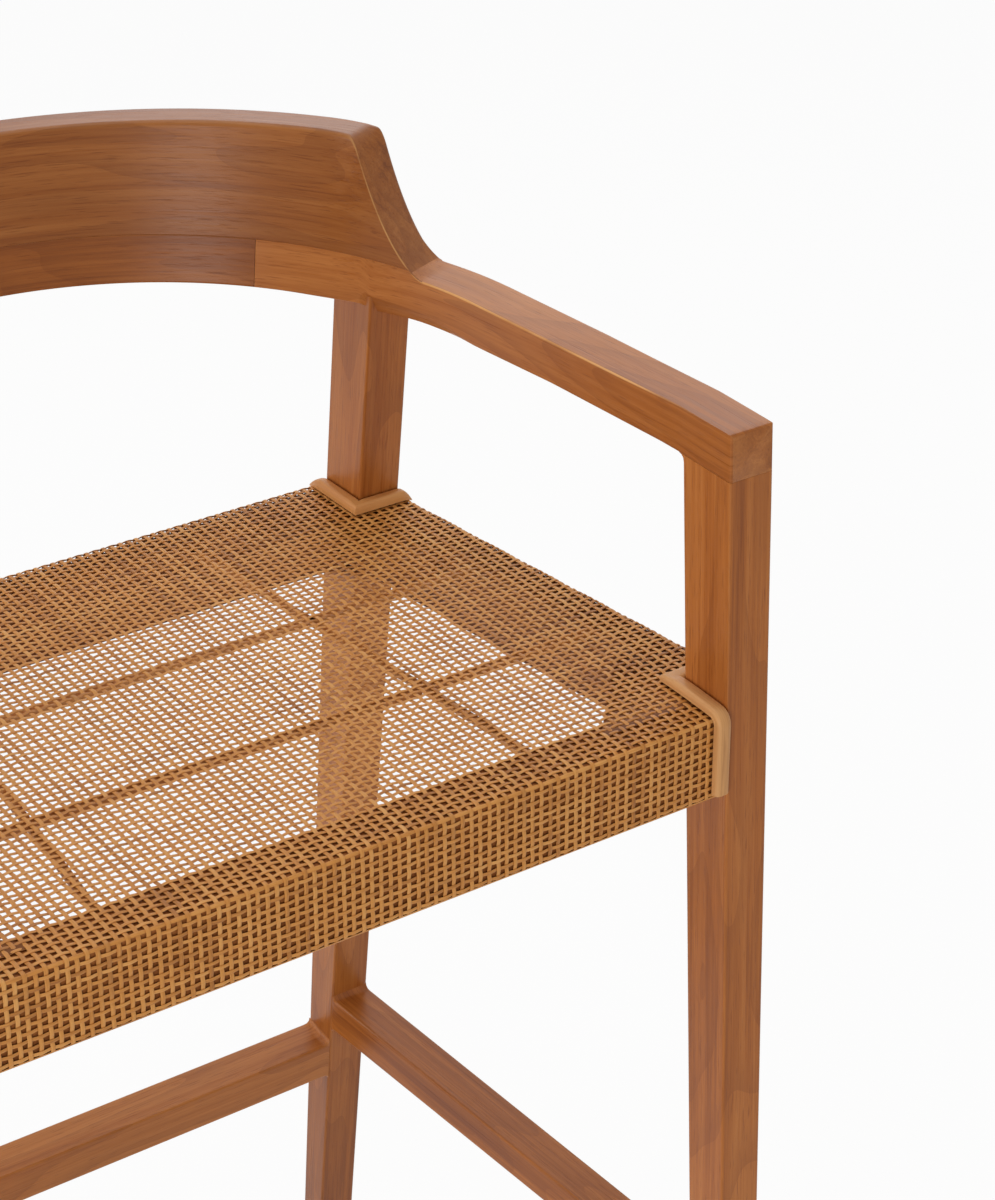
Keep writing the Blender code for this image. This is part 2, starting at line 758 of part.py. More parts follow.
FRONT_RAIL_FRONT = FRONT_PANEL_Y + WEAVE_THICKNESS + WEAVE_FIT
FRONT_RAIL_INNER = FRONT_RAIL_FRONT + FRONT_RAIL_THICKNESS
FRONT_RAIL_BOTTOM = SEAT_HEIGHT - WATERFALL_DROP - WEAVE_THICKNESS - FRONT_RAIL_HEIGHT
BACK_RAIL_REAR = SEAT_BACK_Y - WEAVE_THICKNESS - WEAVE_FIT
BACK_RAIL_INNER = BACK_RAIL_REAR - RAIL_THICKNESS


def side_rail_core(grow=0.0):
    """The side rail's tenons as one bar, placed where the rail's ends overlap the legs."""
    front_y = front_leg_rear(RAIL_TENON_Z)
    rear_y = rear_leg_front(RAIL_TENON_Z)
    width = leg_width(RAIL_TENON_Z)
    front_x = (FRONT_LEG_INNER + min(side_rail_outer(front_y), FRONT_LEG_INNER + width)) / 2.0
    rear_low = max(side_rail_inner(rear_y), REAR_LEG_INNER)
    rear_x = (rear_low + min(side_rail_outer(rear_y), REAR_LEG_INNER + width)) / 2.0
    start = (front_x, front_y - RAIL_TENON_LENGTH)
    end = (rear_x, rear_y + RAIL_TENON_LENGTH)
    half = RAIL_TENON_HEIGHT / 2.0
    return bar("core", start, end, RAIL_TENON_THICKNESS, RAIL_TENON_Z - half, RAIL_TENON_Z + half, grow)


def cross_core(reach, y, z, thickness, height, grow):
    """Tenons of a rail across the stool, as one bar from side to side."""
    half = height / 2.0
    return bar("core", (-reach, y), (reach, y), thickness, z - half, z + half, grow)


def front_rail_core(grow=0.0):
    y = (FRONT_RAIL_FRONT + FRONT_RAIL_INNER) / 2.0
    z = FRONT_RAIL_BOTTOM + FRONT_RAIL_HEIGHT / 2.0
    reach = FRONT_LEG_INNER + RAIL_TENON_LENGTH
    return cross_core(reach, y, z, RAIL_TENON_THICKNESS, RAIL_TENON_HEIGHT, grow)


def back_rail_core(grow=0.0):
    y = (BACK_RAIL_INNER + BACK_RAIL_REAR) / 2.0
    reach = REAR_LEG_INNER + RAIL_TENON_LENGTH
    return cross_core(reach, y, RAIL_TENON_Z, RAIL_TENON_THICKNESS, RAIL_TENON_HEIGHT, grow)


def make_seat_rails():
    def side_corner(is_right, is_back, is_top):
        z = RAIL_TOP if is_top else RAIL_BOTTOM
        y = rear_leg_front(z) - FIT if is_back else front_leg_rear(z) + FIT
        return (side_rail_outer(y) if is_right else side_rail_inner(y), y, z)

    side = hexahedron("seat_rail", side_corner, rounded_edges=1)
    join(side, side_rail_core())
    cut(side, *[cross_batten(y, FIT) for y in CROSS_BATTEN_YS.values()])
    cut(side, *[block_screw(place, FIT) for place in screw_places() if place[2] == "side"])
    deliver_pair(side, "seat_rail", TEAK)

    def front_corner(is_right, is_back, is_top):
        y = FRONT_RAIL_INNER if is_back else FRONT_RAIL_FRONT
        slope = 2.0 * WATERFALL_DROP / (WATERFALL_START_Y - FRONT_PANEL_Y)
        under = WEAVE_THICKNESS * math.hypot(1.0, slope) + WEAVE_FIT
        z = SEAT_HEIGHT - waterfall(y) - under if is_top else FRONT_RAIL_BOTTOM
        x = FRONT_LEG_INNER - FIT
        return (x if is_right else -x, y, z)

    front = hexahedron("seat_rail_front", front_corner, rounded_edges=0, radius=EDGE_ROUND / 2.0)
    join(front, front_rail_core())

    def back_corner(is_right, is_back, is_top):
        x = REAR_LEG_INNER - FIT
        y = BACK_RAIL_REAR if is_back else BACK_RAIL_INNER
        return (x if is_right else -x, y, RAIL_TOP if is_top else RAIL_BOTTOM)

    back = hexahedron("seat_rail_back", back_corner, rounded_edges=0)
    join(back, back_rail_core())
    for rail, name in ((front, "front"), (back, "back")):
        cut(rail, long_batten(1.0, FIT), long_batten(-1.0, FIT))
        for place in screw_places():
            if place[2] == name:
                cut(rail, block_screw(place, FIT), block_screw(place, FIT, side=-1.0))
        deliver(rail, "seat_rail_" + name, TEAK)


# Corner blocks and their screws

BLOCK_TOP = SEAT_HEIGHT - BLOCK_DROP
BLOCK_BOTTOM = BLOCK_TOP - BLOCK_HEIGHT


def front_block_outline():
    y = FRONT_RAIL_INNER + FIT
    x = side_rail_inner(y) - FIT
    far = y + FRONT_BLOCK_LEG
    far_x = side_rail_inner(far) - FIT
    near_x = x - FRONT_BLOCK_LEG
    return [(near_x, y), (x, y), (far_x, far), (far_x - BLOCK_TIP, far), (near_x, y + BLOCK_TIP)]


def rear_block_outline():
    """As at the front, with a notch for the rear leg's corner."""
    y = BACK_RAIL_INNER - FIT
    leg_x = REAR_LEG_INNER - FIT
    leg_y = rear_leg_front(BLOCK_TOP) - FIT
    side_x = side_rail_inner(leg_y) - FIT
    far = leg_y - REAR_BLOCK_LEG
    far_x = side_rail_inner(far) - FIT
    near_x = leg_x - REAR_BLOCK_LEG
    notch = [(leg_x, y), (leg_x, leg_y), (side_x, leg_y)]
    return [(near_x, y), *notch, (far_x, far), (far_x - BLOCK_TIP, far), (near_x, y - BLOCK_TIP)]


def screw_places():
    """Point on the rail's inner face, direction into the rail, rail and block, right-hand side."""
    low = (BLOCK_TOP + BLOCK_BOTTOM) / 2.0 - SCREW_STAGGER
    high = (BLOCK_TOP + BLOCK_BOTTOM) / 2.0 + SCREW_STAGGER
    front_x = side_rail_inner(FRONT_RAIL_INNER) - FRONT_SCREW_PLACE
    front_y = FRONT_RAIL_INNER + FRONT_SCREW_PLACE
    rear_x = REAR_LEG_INNER - REAR_SCREW_PLACE
    rear_y = rear_leg_front(BLOCK_TOP) - REAR_SCREW_PLACE
    return [
        (Vector((front_x, FRONT_RAIL_INNER, low)), Vector((0.0, -1.0, 0.0)), "front", "front"),
        (Vector((side_rail_inner(front_y), front_y, high)), Vector((1.0, 0.0, 0.0)), "side", "front"),
        (Vector((rear_x, BACK_RAIL_INNER, low)), Vector((0.0, 1.0, 0.0)), "back", "rear"),
        (Vector((side_rail_inner(rear_y), rear_y, high)), Vector((1.0, 0.0, 0.0)), "side", "rear"),
    ]


def block_screw(place, grow=0.0, side=1.0):
    """A pointed wood screw with a flat head, or the hole for it with its counterbore."""
    point, direction = place[0].copy(), place[1].copy()
    point.x *= side
    direction.x *= side
    tip = point + direction * SCREW_BITE
    turn = (-direction).to_track_quat("Z", "X").to_matrix().to_4x4()
    shank = SCREW_DIAMETER / 2.0 + grow
    head = SCREW_HEAD_DIAMETER / 2.0 + grow
    under_head = SCREW_LENGTH - SCREW_HEAD_HEIGHT
    top = SCREW_LENGTH + (FRONT_BLOCK_LEG if grow else 0.0)
    profile = [(0.0, top), (head, top), (head, under_head), (shank, under_head - SCREW_HEAD_HEIGHT)]
    profile += [(shank, SCREW_POINT), (0.0, -grow)]
    return turned("screw", profile, Matrix.Translation(tip) @ turn)


def make_corner_blocks():
    outlines = {"front": front_block_outline(), "rear": rear_block_outline()}
    for end, outline in outlines.items():
        block = plate("corner_block", outline, BLOCK_BOTTOM, BLOCK_TOP)
        cut(block, *[block_screw(place, FIT) for place in screw_places() if place[3] == end])
        deliver_pair(block, "corner_block_" + end, TEAK)
    screws = [block_screw(place, 0.0, side) for place in screw_places() for side in (1.0, -1.0)]
    deliver_set(screws, "block_screw", STEEL, metallic=1.0)


# Battens under the weave, halved into each other where they cross

BATTEN_TOP = SEAT_HEIGHT - BATTEN_DROP
BATTEN_BOTTOM = BATTEN_TOP - BATTEN_HEIGHT
BATTEN_MIDDLE = (BATTEN_TOP + BATTEN_BOTTOM) / 2.0


def cross_batten(y, grow=0.0, bottom=BATTEN_BOTTOM, top=BATTEN_TOP):
    reach = side_rail_inner(y) + BATTEN_HOUSING
    return bar("batten", (-reach, y), (reach, y), BATTEN_WIDTH, bottom, top, grow)


def long_batten(side, grow=0.0, bottom=BATTEN_BOTTOM, top=BATTEN_TOP):
    start = (side * LONG_BATTEN_FRONT_X, FRONT_RAIL_INNER - BATTEN_HOUSING)
    end = (side * LONG_BATTEN_BACK_X, BACK_RAIL_INNER + BATTEN_HOUSING)
    return bar("batten", start, end, BATTEN_WIDTH, bottom, top, grow)


def make_battens():
    below = BATTEN_BOTTOM - FIT
    above = BATTEN_TOP + FIT
    for name, y in CROSS_BATTEN_YS.items():
        batten = cross_batten(y)
        cut(batten, *[long_batten(side, FIT, below, BATTEN_MIDDLE) for side in (-1.0, 1.0)])
        deliver(batten, "cross_batten_" + name, TEAK)
    for name, side in (("left", -1.0), ("right", 1.0)):
        batten = long_batten(side)
        lap = [cross_batten(y, FIT, BATTEN_MIDDLE, above) for y in CROSS_BATTEN_YS.values()]
        cut(batten, *lap)
        deliver(batten, "long_batten_" + name, TEAK)


# Woven seat: one sheet with a net in its open middle, folded down over the rails

def strand_lines(first, last, gaps):
    """Edges of the net's gaps along one direction, with a strand between each two gaps."""
    gap = (last - first - NET_STRAND * (gaps - 1)) / gaps
    lines = []
    for i in range(gaps):
        start = first + i * (gap + NET_STRAND)
        lines += [start, start + gap]
    return lines


def waterfall_ys():
    span = WATERFALL_START_Y - FRONT_PANEL_Y
    return [FRONT_PANEL_Y + span * i / WATERFALL_ROWS for i in range(WATERFALL_ROWS + 1)]


def seat_rows():
    """Row positions as (y, drop below the seat's flat top) and the index of the net's first row."""
    fall = waterfall_ys()
    notch_front = front_leg_rear(SEAT_HEIGHT) + FIT
    notch_rear = rear_leg_front(SEAT_HEIGHT) - FIT
    fall = [y for y in fall if abs(y - notch_front) > NET_STRAND / 2.0]
    ys = sorted([*fall, notch_front])
    net = strand_lines(ys[-1] + NET_MARGIN, min(BACK_RAIL_INNER, notch_rear) - NET_MARGIN, NET_ROWS)
    first = len(ys) + 1
    rows = [(FRONT_PANEL_Y, FRONT_PANEL_DROP)]
    rows += [(y, waterfall(y)) for y in ys]
    rows += [(y, 0.0) for y in (*net, notch_rear, SEAT_BACK_Y)]
    rows.append((SEAT_BACK_Y, SKIRT_DROP))
    return rows, first, notch_front, notch_rear


def make_woven_seat():
    rows, first_row, notch_front, notch_rear = seat_rows()
    net = strand_lines(-1.0, 1.0, NET_COLUMNS)
    column_count = len(net) + 6
    first_column = 3
    bm = bmesh.new()
    bmesh.ops.create_grid(bm, x_segments=column_count - 1, y_segments=len(rows) - 1, size=1.0)
    index = {}
    for vert in bm.verts:
        column = round((vert.co.x + 1.0) / 2.0 * (column_count - 1))
        row = round((vert.co.y + 1.0) / 2.0 * (len(rows) - 1))
        index[vert] = (column, row)
    for vert, (column, row) in index.items():
        vert.co = seat_point(column, rows[row], column_count, notch_front, notch_rear)
    doomed = []
    last_column = column_count - 2
    for face in bm.faces:
        column = min(index[vert][0] for vert in face.verts)
        row = min(index[vert][1] for vert in face.verts)
        y = sum(rows[index[vert][1]][0] for vert in face.verts) / 4.0
        outside = column < 2 or column > last_column - 2
        in_notch = outside and (y < notch_front or y > notch_rear)
        skirt_end = row == 0 or row == len(rows) - 2
        in_net_row = first_row <= row < first_row + 2 * NET_ROWS - 1 and (row - first_row) % 2 == 0
        in_net_column = first_column <= column < first_column + 2 * NET_COLUMNS - 1
        gap = in_net_row and in_net_column and (column - first_column) % 2 == 0
        if in_notch or gap or (outside and skirt_end):
            doomed.append(face)
    bmesh.ops.delete(bm, geom=doomed, context="FACES")
    seat = object_from_bmesh("woven_seat", bm)
    shell = seat.modifiers.new("thickness", "SOLIDIFY")
    shell.thickness = WEAVE_THICKNESS
    shell.offset = -1.0
    shell.use_even_offset = True
    settle(seat)
    deliver(seat, "woven_seat", RATTAN)


def seat_point(column, row, column_count, notch_front, notch_rear):
    """Place of one grid point of the seat sheet."""
    y, drop = row
    side = -1.0 if column < column_count / 2.0 else 1.0
    from_edge = min(column, column_count - 1 - column)
    notch_xs = (FRONT_LEG_INNER - FIT, REAR_LEG_INNER - FIT)
    notch_x = float(np.interp(y, (notch_front, notch_rear), notch_xs))
    if from_edge == 0:
        z = SEAT_HEIGHT - SKIRT_DROP
        ends = (front_leg_rear(z) + FIT, rear_leg_front(z) - FIT)
        return (side * seat_side(y), float(np.interp(y, (notch_front, notch_rear), ends)), z)
    if from_edge == 1:
        return (side * seat_side(y), y, SEAT_HEIGHT - drop)
    if from_edge == 2:
        return (side * notch_x, y, SEAT_HEIGHT - drop)
    open_half = min(notch_x, side_rail_inner(y)) - NET_MARGIN
    net = strand_lines(-open_half, open_half, NET_COLUMNS)
    return (net[column - 3], y, SEAT_HEIGHT - drop)


# Binding strips

def strip_section(base, across, up):
    """Half-round section on a base point, from the leg's side outwards."""
    points = []
    for i in range(BINDING_POINTS):
        turn = math.pi * i / (BINDING_POINTS - 1)
        reach = math.copysign(abs(math.cos(turn)) ** (2.0 / BINDING_SQUARENESS), math.cos(turn))
        rise = math.sin(turn) ** (2.0 / BINDING_SQUARENESS)
        place = base + across * BINDING_WIDTH * (1.0 - reach) / 2.0 + up * BINDING_HEIGHT * rise
        points.append(place)
    return points


def tapered_end(section, along):
    """The strip's last section, drawn in to its middle to round the end."""
    middle = sum(section, Vector()) / len(section)
    return [middle + (point - middle) * 0.6 + along * BINDING_HEIGHT / 2.0 for point in section]


def make_bindings():
    up = Vector((0.0, 0.0, 1.0))
    outward = Vector((1.0, 0.0, 0.0))
    back = Vector((0.0, 1.0, 0.0))
    top = SEAT_HEIGHT + FIT
    gap = Vector((FIT, FIT, 0.0))

    # Rear strip: along the leg's front face, mitred, then along its inner face
    front_y = rear_leg_front(top + BINDING_HEIGHT) - gap.y
    corner = Vector((REAR_LEG_INNER - gap.x, front_y, top))
    start = Vector((seat_side(front_y) - BINDING_HEIGHT, front_y, top))
    end = Vector((corner.x, SEAT_BACK_Y - BINDING_HEIGHT, top))
    sections = [strip_section(start, -back, up), strip_section(corner, -back - outward, up)]
    sections.append(strip_section(end, -outward, up))
    sections.insert(0, tapered_end(sections[0], outward))
    sections.append(tapered_end(sections[-1], back))
    deliver_pair(loft("binding", sections), "binding_rear", PEELED_RATTAN)

    # Front strip: along the leg's rear face, mitred, forward over the waterfall and down the panel
    rear_y = front_leg_rear(top + BINDING_HEIGHT) + gap.y
    corner = Vector((FRONT_LEG_INNER - gap.x, rear_y, top))
    start = Vector((seat_side(rear_y) - BINDING_HEIGHT, rear_y, top))
    sections = [strip_section(start, back, up), strip_section(corner, back - outward, up)]
    x = corner.x
    turn_y = FRONT_PANEL_Y - FIT
    falling = [y for y in waterfall_ys() if turn_y + BINDING_BEND < y < corner.y - BINDING_HEIGHT / 2.0]
    for y in reversed(falling):
        slope = 2.0 * waterfall(y) / (WATERFALL_START_Y - y)
        normal = Vector((0.0, -slope, 1.0)).normalized()
        base = Vector((x, y, SEAT_HEIGHT - waterfall(y))) + normal * 2.0 * FIT
        sections.append(strip_section(base, -outward, normal))
    fold = Vector((x, turn_y, SEAT_HEIGHT - WATERFALL_DROP))
    sections.append(strip_section(fold + Vector((0.0, 0.0, FIT)), -outward, (up - back).normalized()))
    bottom = SEAT_HEIGHT - FRONT_PANEL_DROP + BINDING_HEIGHT / 2.0
    for z in (SEAT_HEIGHT - WATERFALL_DROP - BINDING_BEND, bottom):
        sections.append(strip_section(Vector((x, turn_y, z)), -outward, -back))
    sections.insert(0, tapered_end(sections[0], outward))
    sections.append(tapered_end(sections[-1], -up))
    deliver_pair(loft("binding", sections), "binding_front", PEELED_RATTAN)


# Stretchers

CROSS_STRETCHER_Z = CROSS_STRETCHER_TOP - STRETCHER_HEIGHT / 2.0


def side_stretcher_top(is_back):
    """Level of the side stretcher's top, which falls towards the front."""
    return SIDE_STRETCHER_TOP - (0.0 if is_back else SIDE_STRETCHER_FALL)


def side_stretcher_bottom(is_back):
    height = SIDE_STRETCHER_REAR_HEIGHT if is_back else SIDE_STRETCHER_FRONT_HEIGHT
    return side_stretcher_top(is_back) - height


def side_stretcher_core(grow=0.0):
    """The side stretcher's tenons as one bar that slopes with it."""
    def corner(is_right, is_back, is_top):
        middle = (side_stretcher_top(is_back) + side_stretcher_bottom(is_back)) / 2.0
        rise = SIDE_STRETCHER_TENON_HEIGHT / 2.0 + grow
        half = STRETCHER_TENON_THICKNESS / 2.0 + grow
        reach = SIDE_STRETCHER_TENON_LENGTH + grow
        inner = REAR_LEG_INNER if is_back else FRONT_LEG_INNER
        x = inner + leg_width(middle) / 2.0
        y = rear_leg_front(middle) + reach if is_back else front_leg_rear(middle) - reach
        return (x + half if is_right else x - half, y, middle + rise if is_top else middle - rise)

    return hexahedron("core", corner)


def footrest_core(grow=0.0):
    z = CROSS_STRETCHER_Z
    y = (front_leg_front(z) + front_leg_rear(z)) / 2.0
    reach = FRONT_LEG_INNER + STRETCHER_TENON_LENGTH
    return cross_core(reach, y, z, STRETCHER_TENON_THICKNESS, STRETCHER_TENON_HEIGHT, grow)


def back_stretcher_core(grow=0.0):
    z = CROSS_STRETCHER_Z
    y = (rear_leg_front(z) + rear_leg_rear(z)) / 2.0
    reach = REAR_LEG_INNER + STRETCHER_TENON_LENGTH
    return cross_core(reach, y, z, STRETCHER_TENON_THICKNESS, STRETCHER_TENON_HEIGHT, grow)


def make_stretchers():
    def side_corner(is_right, is_back, is_top):
        z = side_stretcher_top(is_back) if is_top else side_stretcher_bottom(is_back)
        inner = REAR_LEG_INNER if is_back else FRONT_LEG_INNER
        y = rear_leg_front(z) - FIT if is_back else front_leg_rear(z) + FIT
        return (inner + (leg_width(z) if is_right else 0.0), y, z)

    side = hexahedron("stretcher", side_corner, rounded_edges=1)
    join(side, side_stretcher_core())
    deliver_pair(side, "stretcher", TEAK)

    for name, (inner, front, rear), core in (("footrest", FRONT_LEG, footrest_core()),
                                             ("stretcher_back", REAR_LEG, back_stretcher_core())):
        # Square to the leaning leg: the rear edge rises with the leg's lean
        lean = (front(0.0) - front(SEAT_HEIGHT)) / SEAT_HEIGHT

        def corner(is_right, is_back, is_top):
            z = CROSS_STRETCHER_TOP - (0.0 if is_top else STRETCHER_HEIGHT)
            middle = (front(z) + rear(z)) / 2.0
            y = rear(z) if is_back else front(z)
            x = inner - FIT
            return (x if is_right else -x, y, z + lean * (y - middle))

        rail = hexahedron(name, corner, rounded_edges=0)
        join(rail, core)
        deliver(rail, name, TEAK)


def main():
    make_legs()
    make_arms()
    make_back_rail()
    make_crest_board()
    make_seat_rails()
    make_corner_blocks()
    make_battens()
    make_woven_seat()
    make_bindings()
    make_stretchers()
    deliver_set(crest_dowels(0.0, -math.pi, math.pi), "crest_dowel", BEECH)
    deliver_set(band_dowels(-1.0, 0.0) + band_dowels(1.0, 0.0), "band_dowel", BEECH)


clear_scene()
STOOL = make_collection("bar_stool")
WORKSHOP = make_collection("workshop")
STOOL_ORIGIN = bpy.data.objects.new("bar_stool", None)
STOOL.objects.link(STOOL_ORIGIN)
CREST_BACK_Y = max(y for x, y, z in crest_section(0.0))
STOOL_ORIGIN.location.y = -(front_leg_front(0.0) + CREST_BACK_Y) / 2.0
main()
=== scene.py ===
"""Looks of the bar stool: teak frame, woven rattan seat and split rattan bindings.

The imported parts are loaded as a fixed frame. The timber that shows is rebuilt as smooth
lofts over the same sizes, the seat as a real weave of strands, and every other part keeps
its solid and gets a finish. Lengths are in metres, +Z is up and the stool faces -Y.
"""
from __future__ import annotations

import logging
import math
from collections.abc import Callable
from dataclasses import dataclass, field
from enum import Enum

import bpy
import numpy as np
from mathutils import Euler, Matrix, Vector


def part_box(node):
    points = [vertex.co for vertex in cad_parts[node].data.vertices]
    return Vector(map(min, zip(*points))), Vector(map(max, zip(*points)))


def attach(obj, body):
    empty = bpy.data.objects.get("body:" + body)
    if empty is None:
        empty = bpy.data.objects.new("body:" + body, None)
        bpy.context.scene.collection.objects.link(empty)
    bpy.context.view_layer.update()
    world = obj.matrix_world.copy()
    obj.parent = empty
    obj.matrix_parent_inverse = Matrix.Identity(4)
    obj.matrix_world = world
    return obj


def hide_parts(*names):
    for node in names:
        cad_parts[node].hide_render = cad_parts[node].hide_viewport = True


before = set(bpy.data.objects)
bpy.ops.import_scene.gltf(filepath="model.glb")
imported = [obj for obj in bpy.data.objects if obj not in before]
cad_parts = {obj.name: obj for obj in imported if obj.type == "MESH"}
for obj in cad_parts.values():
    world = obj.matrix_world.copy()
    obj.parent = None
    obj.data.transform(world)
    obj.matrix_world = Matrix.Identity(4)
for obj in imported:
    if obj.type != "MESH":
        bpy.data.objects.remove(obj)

log = logging.getLogger("bar_stool")
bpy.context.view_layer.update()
BODY = "root"
SEED = 41
TINY = 1e-12
FACE_HOLD = 0.0005
CORNER_SHARE = 0.42
HOLD_SHARE = 0.46
# The way round a four-cornered section: across and up.
SQUARE = ((0, 0), (1, 0), (1, 1), (0, 1))
# The part of its range that a noise fills.
NOISE_SPAN = (0.2, 0.8)
# Sockets of the colour mix node.
MIX_BASE, MIX_COLOUR, MIX_RESULT = 6, 7, 2

Array = np.ndarray
Number = Array | float
Pair = tuple[float, float]
Triple = tuple[float, float, float]
Face = Callable[[Number], Number]
Socket = bpy.types.NodeSocket
Inputs = dict[str | int, Socket | float | tuple[float, ...]]


class Side(Enum):
    """The two mirrored halves of the stool."""

    RIGHT = 1.0
    LEFT = -1.0

    @property
    def label(self) -> str:
        """Ending of this side's part names."""
        return self.name.lower()

    @property
    def turn(self) -> int:
        """Step that reads a ring forwards or, on the mirrored side, backwards."""
        return int(self.value)


# Numbers and meshes

def progress(value: Number, start: float, end: float) -> Array:
    """How far a value has come from start to end, held between 0 and 1."""
    return np.clip((value - start) / (end - start), 0.0, 1.0)


def smooth_step(t: Array) -> Array:
    """Cubic ease from 0 to 1: 3t^2 - 2t^3 with t held between 0 and 1."""
    t = np.clip(t, 0.0, 1.0)
    return t * t * (3.0 - 2.0 * t)


def between(first: Number, last: Number, part: Number) -> Number:
    """Value at a part of the way from first to last."""
    return first + (last - first) * part


def unit(vectors: Array) -> Array:
    """Vectors divided by their own lengths."""
    return vectors / np.maximum(np.linalg.norm(vectors, axis=-1, keepdims=True), TINY)


def travel(points: Array) -> Array:
    """Distance of each point along the line through all of them."""
    return np.concatenate([[0.0], np.cumsum(np.linalg.norm(np.diff(points, axis=0), axis=-1))])


def flare(distance: Array, radius: float) -> Array:
    """Growth of an inside fillet: radius minus the height of a quarter circle, zero past the radius."""
    inside = np.clip(radius - distance, 0.0, radius)
    return radius - np.sqrt(radius ** 2 - inside ** 2)


def corner_sections(*corners: tuple[Number, Number, Number]) -> Array:
    """Stack the x, y and z of four corners, each an array or one value, into sections (count, 4, 3)."""
    return np.stack([np.stack(np.broadcast_arrays(*corner), axis=-1) for corner in corners], axis=1)


def mesh_from_grid(name: str, points: Array, sharp: float = 50.0) -> bpy.types.Object:
    """Make tubes with closed ends from rings of points.

    Args:
        name: Name of the new object.
        points: Array of shape (tubes, rings, points in a ring, 3).
        sharp: Angle in degrees above which an edge shows.

    Returns:
        The object, at the origin, shaded smooth.
    """
    tubes, rings, count, _ = points.shape
    index = np.arange(tubes * rings * count).reshape(tubes, rings, count)
    turned = np.roll(index, -1, axis=2)
    quads = np.stack([index[:, :-1], turned[:, :-1], turned[:, 1:], index[:, 1:]], axis=-1).reshape(-1, 4)
    ends = np.concatenate([index[:, 0, ::-1], index[:, -1]])
    loops = np.concatenate([quads.reshape(-1), ends.reshape(-1)])
    totals = np.repeat([4, count], [len(quads), len(ends)])
    mesh = bpy.data.meshes.new(name)
    mesh.vertices.add(index.size)
    mesh.vertices.foreach_set("co", points.reshape(-1).astype(np.float32))
    mesh.loops.add(len(loops))
    mesh.loops.foreach_set("vertex_index", loops.astype(np.int32))
    mesh.polygons.add(len(totals))
    mesh.polygons.foreach_set("loop_start", (np.cumsum(totals) - totals).astype(np.int32))
    mesh.polygons.foreach_set("loop_total", totals.astype(np.int32))
    mesh.update(calc_edges=True)
    mesh.validate()
    mesh.shade_smooth()
    mesh.set_sharp_from_angle(angle=math.radians(sharp))
    obj = bpy.data.objects.new(name, mesh)
    bpy.context.scene.collection.objects.link(obj)
    return obj


def store(obj: bpy.types.Object, name: str, *columns: Array) -> None:
    """Keep three values of each vertex as a named vector of the mesh.

    Args:
        obj: Object with the mesh.
        name: Name of the attribute.
        columns: Three arrays or values that fit the grid of vertices.
    """
    values = np.stack(np.broadcast_arrays(*columns), axis=-1)
    attribute = obj.data.attributes.new(name, "FLOAT_VECTOR", "POINT")
    attribute.data.foreach_set("vector", values.reshape(-1).astype(np.float32))


def mirror_points(points: Array, side: Side) -> Array:
    """Bring rings to a side, with the ring order turned so that faces still point out."""
    return (points * np.array([side.value, 1.0, 1.0]))[..., ::side.turn, :]


def round_corners(corners: Array, radii: Array, flat: Array, steps: int) -> tuple[Array, Array]:
    """Round the four corners of every section.

    Each corner is replaced by a quadratic curve: (1-t)^2 A + 2t(1-t) C + t^2 B. A and B lie on the
    corner's two sides, and C is the corner, drawn towards the middle of A and B where a flat is asked.
    One more point on each side, just past the curve, keeps the shading of the faces flat.

    Args:
        corners: Array (sections, 4, 3).
        radii: Reach along the side before and after each corner (sections, 4, 2).
        flat: Share from 0, a full curve, to 1, a plain chamfer (sections, 4).
        steps: Spans of each rounded corner.

    Returns:
        Ring points (sections, 4 * (steps + 3), 3) and a wear weight of the same shape that is 1 at
        the middle of a corner and 0 where the flat faces begin.
    """
    ends, holds = [], []
    for number, turn in enumerate((1, -1)):
        way = np.roll(corners, turn, axis=1) - corners
        room = np.linalg.norm(way, axis=-1)
        reach = np.minimum(radii[..., number], room * CORNER_SHARE)
        ends.append(corners + unit(way) * reach[..., None])
        holds.append(corners + unit(way) * np.minimum(reach + FACE_HOLD, room * HOLD_SHARE)[..., None])
    first, last = (end[:, :, None] for end in ends)
    bend = between(corners[:, :, None], (first + last) / 2.0, flat[:, :, None, None])
    t = np.linspace(0.0, 1.0, steps + 1)[None, None, :, None]
    curve = (1 - t) ** 2 * first + 2 * t * (1 - t) * bend + t ** 2 * last
    ring = np.concatenate([holds[0][:, :, None], curve, holds[1][:, :, None]], axis=2)
    worn = np.concatenate([[0.0], (4.0 * t * (1.0 - t)).reshape(-1), [0.0]])
    wear = np.broadcast_to(worn, ring.shape[:3])
    return ring.reshape(len(corners), -1, 3), wear.reshape(len(corners), -1)


# Finishes

@dataclass(frozen=True)
class Noise:
    """Settings of a smooth noise: its scale on three axes and its finer detail."""

    scale: Triple
    detail: float
    roughness: float = 0.55
    distortion: float = 0.0


